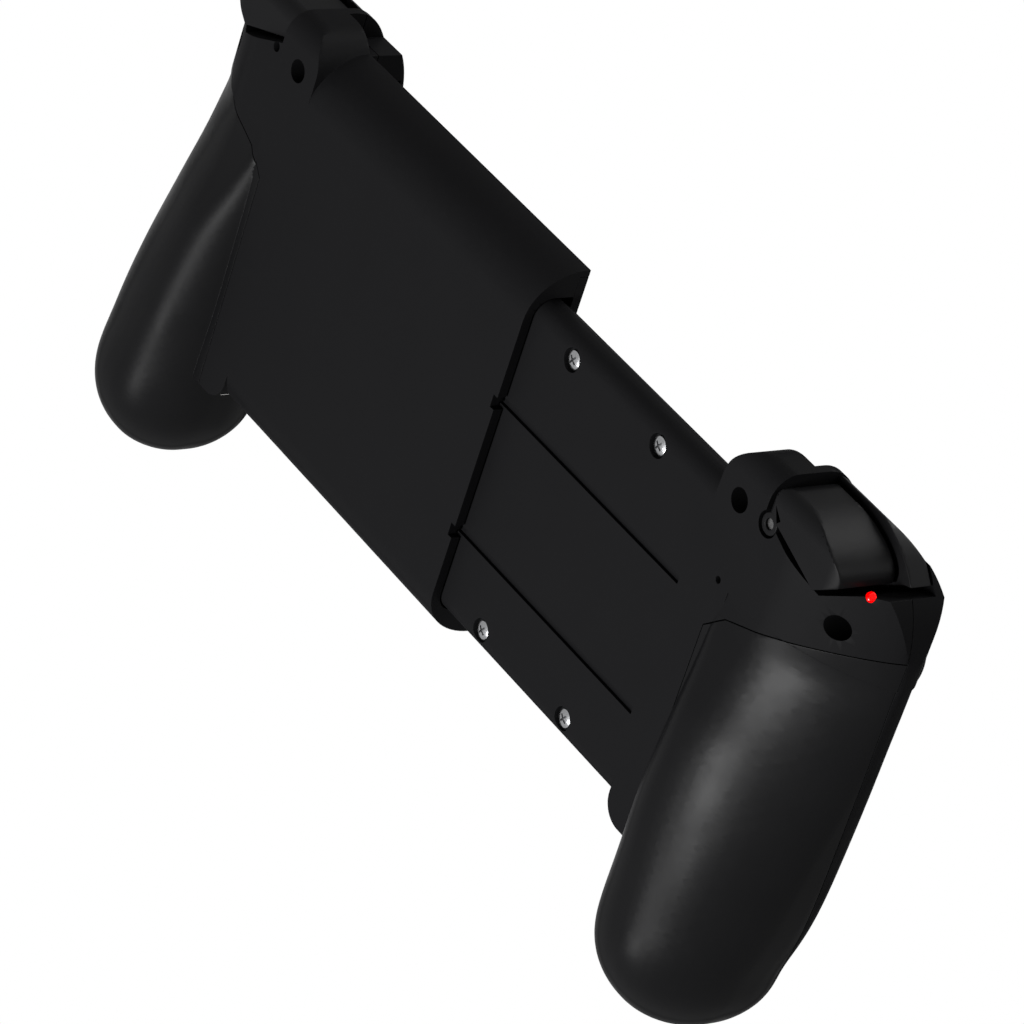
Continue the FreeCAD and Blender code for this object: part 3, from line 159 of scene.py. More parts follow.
class ControllerFinish(bpy.types.PropertyGroup):
    """Colours of the controller's materials."""

    housing: colour("Housing", "Black of the textured housings", "#121213")
    grip: colour("Grip", "Black of the soft-touch grips", "#0d0d0e")
    control: colour("Controls", "Black of levers and buttons", "#121213")
    rubber: colour("Rubber", "Black of stick caps and jaw pads", "#151515")
    inner: colour("Inner plastic", "Dark grey of the parts inside", "#2a2a2b")
    silicone: colour("Silicone", "Grey of the key membranes", "#8b8d8f")
    nickel: colour("Nickel", "Grey of the plated tray screws", "#77787a")
    oxide: colour("Black oxide", "Black of the case screws and shoulder pins", "#1c1c1d")
    steel: colour("Steel", "Grey of springs, pins and shells", "#a9a8a6")
    mask: colour("Solder mask", "Green of the circuit boards", "#0f4a2c")
    copper: colour("Copper", "Tracks and pads of boards and ribbon", "#b87a3c")
    film: colour("Film", "Amber of the ribbon's film", "#a8641c")
    foil: colour("Foil", "Silver of the battery pouch", "#b7b9bd")
    lamp: colour("Lamp", "Red of the status lamp", "#ff0000")
    floor: colour("Floor", "Pale grey of the studio floor", "#e4e4e4")


class ControllerStage(bpy.types.PropertyGroup):
    """The camera's place and the studio lamps."""

    aim_across: length("Aim across", "Point that the camera looks at, along X", -14.09)
    aim_along: length("Aim along", "Point that the camera looks at, along Y", 0.61)
    aim_up: length("Aim up", "Point that the camera looks at, along Z", 16.99)
    distance: length("Distance", "From the camera to the point that it looks at", 988.65)
    azimuth: angle("Azimuth", "Turn of the camera round the controller, from +X", 142.857)
    elevation: angle("Elevation", "Height of the camera over the controller's plane", -36.333)
    roll: angle("Roll", "Turn of the camera about its own axis", 84.405)
    lens: FloatProperty(name="Lens", description="Focal length in millimetres on a 36 mm wide sensor",
                        default=188.13)
    ambient: FloatProperty(name="Ambient", description="Strength of the soft light from all round",
                           default=0.06)
    floor_side: length("Floor side", "Length of the square floor's side", 3000)


# Modelling helpers

def only(piece):
    """Leave edit mode and make one piece the only one selected."""
    if bpy.context.object and bpy.context.object.mode != "OBJECT":
        bpy.ops.object.mode_set(mode="OBJECT")
    bpy.ops.object.select_all(action="DESELECT")
    piece.select_set(True)
    bpy.context.view_layer.objects.active = piece


def edit(piece, kind="FACE"):
    """Open a piece in edit mode with nothing selected."""
    only(piece)
    bpy.ops.object.mode_set(mode="EDIT")
    bpy.ops.mesh.select_mode(type=kind)
    bpy.ops.mesh.select_all(action="DESELECT")


def choose(kind, wanted):
    """In edit mode, select the faces, edges or verts for which wanted(element) holds."""
    bpy.ops.mesh.select_all(action="DESELECT")
    mesh = bpy.context.object.data
    work = bmesh.from_edit_mesh(mesh)
    found = [element for element in getattr(work, kind) if wanted(element)]
    for element in found:
        element.select_set(True)
    if not found:
        raise RuntimeError(f"no {kind} of {bpy.context.object.name} were found to work on")
    bmesh.update_edit_mesh(mesh)


def modify(piece, kind, **settings):
    """Add a modifier with its settings and apply it."""
    only(piece)
    modifier = piece.modifiers.new(kind.lower(), kind)
    for name, value in settings.items():
        setattr(modifier, name, value)
    bpy.ops.object.modifier_apply(modifier=modifier.name)


def finish(piece, name, material, slot, *nodes):
    """Name a piece, set it at the origin, give it its material and let it stand for its nodes."""
    only(piece)
    bpy.ops.object.transform_apply(location=True, rotation=True, scale=True)
    piece.name = name
    piece.data.name = name
    piece.data.materials.clear()
    piece.data.materials.append(material)
    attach(piece, frame["nodes"][nodes[0]]["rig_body"])
    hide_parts(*nodes)
    return piece


def smooth(piece, degrees=34):
    only(piece)
    bpy.ops.object.shade_smooth_by_angle(angle=math.radians(degrees))


def turned(name, centre, profile, sides):
    """A turned piece: a disc drawn out through (radius, height) pairs up the Z axis."""
    radius, height = profile[0]
    bpy.ops.mesh.primitive_circle_add(vertices=sides, radius=radius, fill_type="NGON",
                                      location=(centre.x, centre.y, height))
    piece = bpy.context.object
    piece.name = name
    bpy.ops.object.transform_apply(location=True, rotation=True, scale=True)
    edit(piece)
    bpy.ops.mesh.select_all(action="SELECT")
    for next_radius, next_height in profile[1:]:
        bpy.ops.mesh.extrude_region_move(
            TRANSFORM_OT_translate={"value": (0, 0, next_height - height)})
        share = next_radius / radius
        bpy.ops.transform.resize(value=(share, share, 1), center_override=(centre.x, centre.y, next_height))
        radius, height = next_radius, next_height
    bpy.ops.mesh.select_all(action="SELECT")
    bpy.ops.mesh.normals_make_consistent(inside=False)
    bpy.ops.object.mode_set(mode="OBJECT")
    return piece


def block(centre, extent, turn=0.0):
    """A box about its centre, turned about the Z axis."""
    bpy.ops.mesh.primitive_cube_add(size=1, location=centre)
    piece = bpy.context.object
    piece.scale = extent
    piece.rotation_euler.z = turn
    bpy.ops.object.transform_apply(location=True, rotation=True, scale=True)
    return piece


def crown(radius, level, rise, shares, way=1):
    """(radius, height) pairs over a spherical crown whose middle would lie at a level.

    The crown stands up with a way of 1, and with -1 it hangs down or is a hollow."""
    ball = (radius ** 2 + rise ** 2) / (2 * rise)
    return [(radius * share, level - way * (ball - math.sqrt(ball ** 2 - (radius * share) ** 2)))
            for share in shares]


def softened(node, name, radius, steps):
    """A copy of a node's mesh whose sharp edges are rounded as a mould rounds them.

    Where short faces crowd a corner, a point that the bevel throws off the surface is set back on it."""
    mesh = frame["nodes"][node].data.copy()
    surface = BVHTree.FromPolygons([vert.co for vert in mesh.vertices],
                                   [face.vertices for face in mesh.polygons])
    piece = bpy.data.objects.new(name, mesh)
    bpy.context.scene.collection.objects.link(piece)
    edit(piece, "VERT")
    bpy.ops.mesh.select_all(action="SELECT")
    bpy.ops.mesh.remove_doubles(threshold=MERGE)
    bpy.ops.mesh.dissolve_limited(angle_limit=FLAT)
    bpy.ops.object.mode_set(mode="OBJECT")
    modify(piece, "BEVEL", width=radius, segments=steps, limit_method="ANGLE",
           angle_limit=SHARP, use_clamp_overlap=False)
    low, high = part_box(node)
    for vert in piece.data.vertices:
        nearest, _, _, reach = surface.find_nearest(vert.co)
        if reach > STRAY * radius:
            vert.co = nearest
        vert.co = [min(max(vert.co[i], low[i]), high[i]) for i in range(3)]
    smooth(piece)
    modify(piece, "WEIGHTED_NORMAL", mode="FACE_AREA", weight=100, keep_sharp=True)
    return piece


def islands(node):
    """The lowest and highest corners of each separate solid of a node, from left to right."""
    work = bmesh.new()
    work.from_mesh(frame["nodes"][node].data)
    bmesh.ops.remove_doubles(work, verts=work.verts, dist=MERGE)
    left = set(work.verts)
    boxes = []
    while left:
        waiting = [left.pop()]
        places = []
        while waiting:
            vert = waiting.pop()
            places.append(vert.co.copy())
            for link in vert.link_edges:
                other = link.other_vert(vert)
                if other in left:
                    left.remove(other)
                    waiting.append(other)
        boxes.append((Vector([min(p[i] for p in places) for i in range(3)]),
                      Vector([max(p[i] for p in places) for i in range(3)])))
    work.free()
    return sorted(boxes, key=lambda box: tuple(box[0]))


# Material helpers

def add_node(tree, kind, sockets=None, **settings):
    """Add a node, set its settings, and set or link its sockets."""
    node = tree.nodes.new(kind)
    for name, value in settings.items():
        setattr(node, name, value)
    for socket, value in (sockets or {}).items():
        if isinstance(value, bpy.types.NodeSocket):
            tree.links.new(value, node.inputs[socket])
        else:
            node.inputs[socket].default_value = value
    return node


def start_material(name):
    """A new material, its empty node tree and the object's own coordinates."""
    material = bpy.data.materials.new(name)
    material.use_nodes = True
    material.node_tree.nodes.clear()
    place = add_node(material.node_tree, "ShaderNodeTexCoord").outputs["Object"]
    return material, material.node_tree, place


def end_material(tree, surface):
    add_node(tree, "ShaderNodeOutputMaterial", {"Surface": surface})


def shade(code, share):
    """A colour moved a share of the way to white."""
    return [c + (1 - c) * share for c in code[:3]] + [1.0]


def grained_plastic(name, base, grit, depth, roughness, level, mottle):
    """A moulded or coated plastic with an even grain and a faint drift of tone and gloss.

    Each grit is drawn two to four times as coarse as the real grain, so that it shows. The sheen's level
    falls with the angle of view to a twentieth at the outline: painted shade that darkens the outline."""
    material, tree, place = start_material(name)
    grain = add_node(tree, "ShaderNodeTexNoise", {"Vector": place, "Scale": 1 / grit, "Detail": 3.0,
                                                  "Roughness": 0.6})
    bump = add_node(tree, "ShaderNodeBump", {"Height": grain.outputs["Fac"], "Distance": depth,
                                             "Strength": 1.0})
    drift = add_node(tree, "ShaderNodeTexNoise", {"Vector": place, "Scale": 1 / (14 * MM), "Detail": 2.0})
    tone = add_node(tree, "ShaderNodeMix", {"Factor": drift.outputs["Fac"], "A": base,
                                            "B": shade(base, mottle)}, data_type="RGBA")
    gloss = add_node(tree, "ShaderNodeMapRange", {"Value": drift.outputs["Fac"], "From Min": 0.3,
                                                  "From Max": 0.7, "To Min": roughness - 0.04,
                                                  "To Max": roughness + 0.04})
    # Painted shade: the sheen's level falls with the angle of view, to a twentieth at the outline.
    turn = add_node(tree, "ShaderNodeLayerWeight", {"Blend": 0.5})
    sheen = add_node(tree, "ShaderNodeMapRange", {"Value": turn.outputs["Facing"], "From Max": 0.7,
                                                  "To Min": level, "To Max": level * 0.05})
    shader = add_node(tree, "ShaderNodeBsdfPrincipled", {
        "Base Color": tone.outputs["Result"], "Roughness": gloss.outputs["Result"],
        "Specular IOR Level": sheen.outputs["Result"], "Normal": bump.outputs["Normal"]})
    end_material(tree, shader.outputs["BSDF"])
    return material


def textured_abs(finish):
    """Black ABS from a spark-eroded mould: an even fine grain that keeps the flats matte.

    The real grain is about 0.1 mm, drawn at 0.3 mm so that it shows."""
    return grained_plastic("spark textured ABS", finish.housing[:], grit=0.3 * MM, depth=0.012 * MM,
                           roughness=0.5, level=0.03, mottle=0.001)


def soft_touch_coat(finish):
    """Soft-touch lacquer sprayed on ABS: nearly smooth, with a broad satin light along the handle."""
    return grained_plastic("soft touch lacquer", finish.grip[:], grit=0.35 * MM, depth=0.006 * MM,
                           roughness=0.37, level=0.07, mottle=0.001)


def satin_abs(finish):
    """Black ABS from a satin mould: smoother than the housings, so that edges catch the light."""
    return grained_plastic("satin ABS", finish.control[:], grit=0.3 * MM, depth=0.006 * MM,
                           roughness=0.4, level=0.06, mottle=0.001)


def moulded_rubber(finish):
    """Black silicone-coated rubber: matte, with a faint bloom."""
    return grained_plastic("moulded rubber", finish.rubber[:], grit=0.25 * MM, depth=0.01 * MM,
                           roughness=0.65, level=0.05, mottle=0.002)


def glass_filled_nylon(finish):
    """Dark nylon with short glass fibres: dull, with a coarse flow mottle."""
    return grained_plastic("glass filled nylon", finish.inner[:], grit=0.4 * MM, depth=0.02 * MM,
                           roughness=0.55, level=0.4, mottle=0.03)


def silicone_sheet(finish):
    """Grey silicone: lets a little light through and shows a soft gloss."""
    material, tree, place = start_material("silicone sheet")
    cloud = add_node(tree, "ShaderNodeTexNoise", {"Vector": place, "Scale": 1 / (3 * MM), "Detail": 3.0})
    tone = add_node(tree, "ShaderNodeMix", {"Factor": cloud.outputs["Fac"], "A": finish.silicone[:],
                                            "B": shade(finish.silicone[:], 0.12)}, data_type="RGBA")
    shader = add_node(tree, "ShaderNodeBsdfPrincipled", {
        "Base Color": tone.outputs["Result"], "Roughness": 0.45, "Subsurface Weight": 0.2,
        "Subsurface Scale": 1.0 * MM})
    end_material(tree, shader.outputs["BSDF"])
    return material


def plated_metal(name, base, stretch, roughness, depth):
    """A metal with fine marks, drawn out along one way where it was drawn or turned.

    Real marks are much finer than the 0.2 mm at which they are drawn to show."""
    material, tree, place = start_material(name)
    lay = add_node(tree, "ShaderNodeMapping", {"Vector": place, "Scale": stretch})
    marks = add_node(tree, "ShaderNodeTexNoise", {"Vector": lay.outputs["Vector"], "Scale": 1 / (0.2 * MM),
                                                  "Detail": 3.0})
    gloss = add_node(tree, "ShaderNodeMapRange", {"Value": marks.outputs["Fac"], "From Min": 0.3,
                                                  "From Max": 0.7, "To Min": roughness - 0.07,
                                                  "To Max": roughness + 0.07})
    tone = add_node(tree, "ShaderNodeMix", {"Factor": marks.outputs["Fac"], "A": base,
                                            "B": shade(base, 0.15)}, data_type="RGBA")
    bump = add_node(tree, "ShaderNodeBump", {"Height": marks.outputs["Fac"], "Distance": depth})
    shader = add_node(tree, "ShaderNodeBsdfPrincipled", {
        "Base Color": tone.outputs["Result"], "Metallic": 1.0, "Roughness": gloss.outputs["Result"],
        "Normal": bump.outputs["Normal"]})
    end_material(tree, shader.outputs["BSDF"])
    return material


def nickel_plate(finish):
    """Nickel plate over a small screw: a bright spark on the dome and a darker side."""
    return plated_metal("nickel plated steel", finish.nickel[:], stretch=(1, 1, 1), roughness=0.25,
                        depth=0.003 * MM)


def black_oxide(finish):
    """Blackened steel of screws and pins deep in the housings: barely a sheen."""
    return plated_metal("black oxide steel", finish.oxide[:], stretch=(1, 1, 1), roughness=0.4,
                        depth=0.004 * MM)


def drawn_steel(finish):
    """Drawn steel wire, pins and folded shells: fine marks along the draw."""
    return plated_metal("drawn steel", finish.steel[:], stretch=(1, 1, 0.15), roughness=0.33,
                        depth=0.004 * MM)


def solder_mask_board(finish):
    """Green solder mask over copper: tracks run under it and bare pads shine."""
    material, tree, place = start_material("solder mask laminate")
    tracks = add_node(tree, "ShaderNodeTexBrick", {
        "Vector": place, "Color1": finish.mask[:], "Color2": shade(finish.mask[:], 0.03),
        "Mortar": shade(finish.mask[:], 0.12), "Scale": 1 / (6 * MM), "Mortar Size": 0.03,
        "Brick Width": 0.9, "Row Height": 0.22})
    cells = add_node(tree, "ShaderNodeTexVoronoi", {"Vector": place, "Scale": 1 / (2.2 * MM)},
                     distance="CHEBYCHEV")
    pads = add_node(tree, "ShaderNodeMath", {0: cells.outputs["Distance"], 1: 0.16}, operation="LESS_THAN")
    tone = add_node(tree, "ShaderNodeMix", {"Factor": pads.outputs["Value"], "A": tracks.outputs["Color"],
                                            "B": finish.copper[:]}, data_type="RGBA")
    bump = add_node(tree, "ShaderNodeBump", {"Height": tracks.outputs["Fac"], "Distance": 0.03 * MM})
    shader = add_node(tree, "ShaderNodeBsdfPrincipled", {
        "Base Color": tone.outputs["Result"], "Metallic": pads.outputs["Value"], "Roughness": 0.35,
        "Normal": bump.outputs["Normal"]})
    end_material(tree, shader.outputs["BSDF"])
    return material


def polyimide_ribbon(finish):
    """Amber polyimide film with copper tracks along it, 0.8 mm apart."""
    material, tree, place = start_material("polyimide film")
    tracks = add_node(tree, "ShaderNodeTexWave", {"Vector": place, "Scale": 0.5 / (0.8 * MM) / math.pi},
                      wave_type="BANDS", bands_direction="Y")
    tone = add_node(tree, "ShaderNodeMix", {"Factor": tracks.outputs["Fac"], "A": finish.film[:],
                                            "B": finish.copper[:]}, data_type="RGBA")
    shader = add_node(tree, "ShaderNodeBsdfPrincipled", {
        "Base Color": tone.outputs["Result"], "Roughness": 0.3, "Coat Weight": 0.4})
    end_material(tree, shader.outputs["BSDF"])
    return material


def foil_pouch(finish):
    """Aluminium laminate pulled tight over the cell: long soft creases and a bright sheen."""
    material, tree, place = start_material("aluminium laminate")
    creases = add_node(tree, "ShaderNodeTexNoise", {"Vector": place, "Scale": 1 / (5 * MM), "Detail": 4.0,
                                                    "Distortion": 0.8})
    bump = add_node(tree, "ShaderNodeBump", {"Height": creases.outputs["Fac"], "Distance": 0.25 * MM,
                                             "Strength": 0.6})
    gloss = add_node(tree, "ShaderNodeMapRange", {"Value": creases.outputs["Fac"], "To Min": 0.25,
                                                  "To Max": 0.42})
    shader = add_node(tree, "ShaderNodeBsdfPrincipled", {
        "Base Color": finish.foil[:], "Metallic": 1.0, "Roughness": gloss.outputs["Result"],
        "Normal": bump.outputs["Normal"]})
    end_material(tree, shader.outputs["BSDF"])
    return material


def lit_acrylic(finish):
    """Red acrylic light guide with the lamp on behind it: an even glow, a little deeper at its edge."""
    material, tree, _ = start_material("red acrylic")
    edge = add_node(tree, "ShaderNodeLayerWeight", {"Blend": 0.35})
    glow = add_node(tree, "ShaderNodeMapRange", {"Value": edge.outputs["Facing"], "To Min": 1.3,
                                                 "To Max": 0.9})
    shader = add_node(tree, "ShaderNodeBsdfPrincipled", {
        "Base Color": finish.lamp[:], "Roughness": 0.2, "Specular IOR Level": 0.2,
        "Emission Color": finish.lamp[:], "Emission Strength": glow.outputs["Result"]})
    end_material(tree, shader.outputs["BSDF"])
    return material


def pale_floor(finish):
    """Matt studio paper, seen only from above: what lies on it shows from below as well."""
    material, tree, place = start_material("pale studio paper")
    fibre = add_node(tree, "ShaderNodeTexNoise", {"Vector": place, "Scale": 1 / (4 * MM), "Detail": 2.0})
    tone = add_node(tree, "ShaderNodeMix", {"Factor": fibre.outputs["Fac"], "A": finish.floor[:],
                                            "B": shade(finish.floor[:], 0.1)}, data_type="RGBA")
    paper = add_node(tree, "ShaderNodeBsdfPrincipled", {
        "Base Color": tone.outputs["Result"], "Roughness": 0.9, "Specular IOR Level": 0.0})
    clear = add_node(tree, "ShaderNodeBsdfTransparent")
    ray = add_node(tree, "ShaderNodeLightPath").outputs["Is Camera Ray"]
    under = add_node(tree, "ShaderNodeNewGeometry").outputs["Backfacing"]
    shown = add_node(tree, "ShaderNodeMath", {0: ray, 1: under}, operation="SUBTRACT", use_clamp=True)
    mixed = add_node(tree, "ShaderNodeMixShader", {"Fac": shown.outputs["Value"], 1: clear.outputs["BSDF"],
                                                   2: paper.outputs["BSDF"]})
    end_material(tree, mixed.outputs["Shader"])
    return material


made = {}


def material_of(maker):
    """The material that a maker function gives, made once."""
    if maker.__name__ not in made:
        made[maker.__name__] = maker(bpy.context.scene.controller_finish)
    return made[maker.__name__]


# Operators, one for each piece or group of like pieces

class CONTROLLER_OT_shells(bpy.types.Operator):
    """Round the moulded edges of the sleeve, the tray, the front housings and their plates"""

    bl_idname = "controller.shells"
    bl_label = "Shells"

    def execute(self, context):
        sizes = context.scene.controller_shells
        for node in ("sleeve_housing", "sleeve_bed_plate", "tray_housing", "tray_cover",
                     "right_front_housing", "left_front_housing"):
            piece = softened(node, f"{node}_moulding", sizes.housing_edge, sizes.edge_steps)
            finish(piece, f"{node}_moulding", material_of(textured_abs), "housing", node)
        return {"FINISHED"}


class CONTROLLER_OT_grips(bpy.types.Operator):
    """Finish the two grip covers with a soft edge along their seam"""

    bl_idname = "controller.grips"
    bl_label = "Grip covers"

    def execute(self, context):
        sizes = context.scene.controller_shells
        for side in SIDES:
            node = f"{side}_grip_cover"
            piece = softened(node, f"{node}_coated", sizes.cover_edge, sizes.edge_steps)
            finish(piece, f"{node}_coated", material_of(soft_touch_coat), "grip", node)
        return {"FINISHED"}


class CONTROLLER_OT_levers(bpy.types.Operator):
    """Finish triggers and bumpers with the broad edge rounding of their moulds"""

    bl_idname = "controller.levers"
    bl_label = "Triggers and bumpers"

    def execute(self, context):
        sizes = context.scene.controller_shells
        for side in SIDES:
            for word in ("trigger", "bumper"):
                node = f"{side}_{word}"
                piece = softened(node, f"{node}_lever", sizes.lever_edge, sizes.edge_steps + 1)
                finish(piece, f"{node}_lever", material_of(satin_abs), "control", node)
        return {"FINISHED"}


class CONTROLLER_OT_jaw_pads(bpy.types.Operator):
    """Model the ribbed rubber pads that press on the phone"""

    bl_idname = "controller.jaw_pads"
    bl_label = "Jaw pads"

    def execute(self, context):
        sizes = context.scene.controller_shells
        for side, hand in SIDES.items():
            node = f"{side}_jaw_pad"
            low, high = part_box(node)
            piece = block((low + high) / 2, high - low)
            edit(piece, "EDGE")
            choose("edges", lambda edge: abs((edge.verts[0].co - edge.verts[1].co).y) > (high - low).y / 2)
            strips = round((high.y - low.y) / sizes.pad_rib) * 2 + 1
            bpy.ops.mesh.subdivide(number_cuts=strips - 1)
            bpy.ops.mesh.select_mode(type="FACE")
            step = (high.y - low.y) / strips
            choose("faces", lambda face: face.normal.x * hand < -0.5
                   and int((face.calc_center_median().y - low.y) / step) % 2 == 1)
            bpy.ops.mesh.inset(thickness=sizes.pad_slope, use_individual=True)
            bpy.ops.transform.translate(value=(hand * sizes.pad_groove, 0, 0))
            modify(piece, "BEVEL", width=sizes.pad_edge, segments=sizes.edge_steps, limit_method="ANGLE",
                   angle_limit=SHARP, use_clamp_overlap=True)
            smooth(piece)
            finish(piece, f"{node}_ribbed", material_of(moulded_rubber), "pad", node)
        return {"FINISHED"}


class CONTROLLER_OT_stick_caps(bpy.types.Operator):
    """Model the thumb stick caps: a knurled edge, a dished top and a ball-shaped skirt"""

    bl_idname = "controller.stick_caps"
    bl_label = "Stick caps"

    def execute(self, context):
        sizes = context.scene.controller_controls
        for side in SIDES:
            node = f"{side}_stick_cap"
            low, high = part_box(node)
            centre = (low + high) / 2
            radius = (high.x - low.x) / 2
            top = high.z
            under = top - sizes.cap_thick
            edge = sizes.cap_edge
            profile = [
                (sizes.skirt_radius, low.z),
                (sizes.skirt_radius - sizes.skirt_lip / 2, low.z + sizes.skirt_lip),
                (sizes.stem_radius + 0.1 * MM, low.z + 0.75 * sizes.skirt_rise),
                (sizes.stem_radius, low.z + sizes.skirt_rise),
                (sizes.stem_radius, under), (radius - edge, under), (radius, under + edge),
                (radius, top - edge), (radius - 0.3 * edge, top - 0.3 * edge), (radius - edge, top),
                (radius - sizes.cap_rim, top)]
            rings = 7
            profile += crown(radius - sizes.cap_rim, top - sizes.cap_dish, sizes.cap_dish,
                             [1 - i / (rings + 0.4) for i in range(1, rings + 1)], -1)
            piece = turned(node, centre, profile, sides=sizes.knurls * 2)
            edit(piece)
            choose("faces", lambda face: abs(face.normal.z) < 0.1
                   and (face.calc_center_median() - centre).xy.length > radius * 0.95
                   and self.strip(face.calc_center_median() - centre, sizes.knurls) % 2 == 0)
            bpy.ops.mesh.inset(thickness=sizes.knurl_slope, use_individual=True)
            bpy.ops.transform.shrink_fatten(value=-sizes.knurl_depth)
            smooth(piece, 30)
            finish(piece, f"{node}_knurled", material_of(moulded_rubber), "stick_rubber", node)
        return {"FINISHED"}

    def strip(self, place, knurls):
        """Which of the ribs and grooves round the edge lies at a place, counted from +X."""
        return int(math.degrees(math.atan2(place.y, place.x)) % 360 / (180 / knurls))


class CONTROLLER_OT_buttons(bpy.types.Operator):
    """Model the face buttons and the small buttons with their crowns and flanges"""

    bl_idname = "controller.buttons"
    bl_label = "Buttons"

    def execute(self, context):
        sizes = context.scene.controller_controls
        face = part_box("right_front_housing")[1].z
        bodies = {f"face_button_{word}": (sizes.face_radius, sizes.face_dome)
                  for word in ("top", "bottom", "inner", "outer")}
        bodies |= {f"{word}_button": (sizes.small_radius, sizes.small_dome)
                   for word in ("menu", "home", "view", "share")}
        edge = sizes.button_edge
        for node, (radius, dome) in bodies.items():
            low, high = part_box(node)
            centre = (low + high) / 2
            flange = (high.x - low.x) / 2
            shelf = face - sizes.flange_drop
            under = shelf - sizes.flange_thick
            shoulder = high.z - dome
            profile = [(radius, low.z), (radius, under), (flange, under), (flange, shelf - 0.1 * MM),
                       (radius, shelf), (radius, shoulder - edge), (radius - edge / 3, shoulder - edge / 3),
                       (radius - edge, shoulder)]
            profile += crown(radius - edge, high.z, dome, (0.85, 0.68, 0.5, 0.32, 0.14))
            piece = turned(node, centre, profile, sides=48)
            smooth(piece, 32)
            finish(piece, f"{node}_crowned", material_of(satin_abs), "control", node)
        return {"FINISHED"}


class CONTROLLER_OT_dpad(bpy.types.Operator):
    """Model the directional pad: a cross with a dished middle and raised tips"""

    bl_idname = "controller.dpad"
    bl_label = "Directional pad"

    def execute(self, context):
        sizes = context.scene.controller_controls
        low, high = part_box("dpad_cap")
        centre = (low + high) / 2
        arm = sizes.dpad_arm
        reach = (high.x - low.x) / 2
        piece = block(centre, (2 * arm, 2 * arm, high.z - low.z))
        edit(piece)
        choose("faces", lambda face: abs(face.normal.z) < 0.5)
        for share in (0.55, 0.45):
            bpy.ops.mesh.extrude_faces_move(
                TRANSFORM_OT_shrink_fatten={"value": (reach - arm) * share})
        choose("faces", lambda face: face.normal.z > 0.5
               and (face.calc_center_median() - centre).xy.length < arm / 2)
        bpy.ops.transform.translate(value=(0, 0, -sizes.dpad_dish))
        bpy.ops.mesh.select_all(action="SELECT")
        bpy.ops.mesh.normals_make_consistent(inside=False)
        modify(piece, "BEVEL", width=sizes.dpad_edge, segments=3, limit_method="ANGLE",
               angle_limit=SHARP, use_clamp_overlap=True)
        smooth(piece, 40)
        finish(piece, "dpad_cross", material_of(satin_abs), "control", "dpad_cap")
        return {"FINISHED"}


class CONTROLLER_OT_screws(bpy.types.Operator):
    """Model domed screws with a cross recess at the place and length of each of the built ones"""

    bl_idname = "controller.screws"
    bl_label = "Screws"

    def execute(self, context):
        sizes = context.scene.controller_controls
        for node, head, plating in (("tray_screws", sizes.tray_head, nickel_plate),
                                    ("right_case_screws", sizes.case_head, black_oxide),
                                    ("left_case_screws", sizes.case_head, black_oxide)):
            copies = [self.screw(sizes, low, high, head) for low, high in islands(node)]
            only(copies[0])
            for copy in copies:
                copy.select_set(True)
            bpy.ops.object.join()
            finish(copies[0], f"{node}_cross_head", material_of(plating), "screw", node)
        return {"FINISHED"}

    def screw(self, sizes, low, high, head):
        """A screw whose head lies at the low end and whose shank rises into the plastic."""
        centre = (low + high) / 2
        shank = sizes.shank_radius
        edge = low.z + sizes.head_dome
        back = edge + sizes.head_thick
        profile = [(shank / 2, high.z), (shank, high.z - 0.5 * MM), (shank, back + 0.1 * MM),
                   (head, back), (head, edge)]
        profile += crown(head, low.z, sizes.head_dome, (0.85, 0.68, 0.5, 0.3, 0.12), -1)
        piece = turned("screw", centre, profile, sides=32)
        run_out = 0.4 * MM
        recess = Vector((centre.x, centre.y, low.z + (sizes.recess_depth - run_out) / 2))
        for quarter in (0, math.pi / 2):
            cutter = block(recess, (head * 1.15, sizes.recess_width, sizes.recess_depth + run_out),
                           sizes.recess_turn + quarter)
            modify(piece, "BOOLEAN", object=cutter, operation="DIFFERENCE", solver="EXACT")
            bpy.data.objects.remove(cutter)
        smooth(piece, 38)
        return piece


class CONTROLLER_OT_status_lamp(bpy.types.Operator):
    """Model the lamp's red light guide with its domed end"""

    bl_idname = "controller.status_lamp"
    bl_label = "Status lamp"

    def execute(self, context):
        sizes = context.scene.controller_controls
        mesh = frame["nodes"]["status_lamp"].data
        flats = {}
        for face in mesh.polygons:
            key = tuple(round(c, 2) for c in face.normal)
            flats.setdefault(key, []).append(face)
        ends = sorted(flats.values(), key=lambda faces: -sum(face.area for face in faces))[:2]
        middles = [sum((face.center * face.area for face in faces), Vector())
                   / sum(face.area for face in faces) for faces in ends]
        inner, outer = sorted(middles, key=lambda point: point.z, reverse=True)
        way = (outer - inner).normalized()
        radius = math.sqrt(sum(face.area for face in ends[0]) / math.pi)
        run = (outer - inner).length
        profile = [(radius, 0.0), (radius, run - sizes.lens_rise)]
        profile += crown(radius, run, sizes.lens_rise, (0.85, 0.65, 0.45, 0.25, 0.1))
        piece = turned("status_lamp", Vector((0, 0, 0)), profile, sides=32)
        piece.matrix_world = Matrix.Translation(inner) @ way.to_track_quat("Z", "Y").to_matrix().to_4x4()
        smooth(piece, 40)
        finish(piece, "status_lamp_lens", material_of(lit_acrylic), "lamp", "status_lamp")
        return {"FINISHED"}


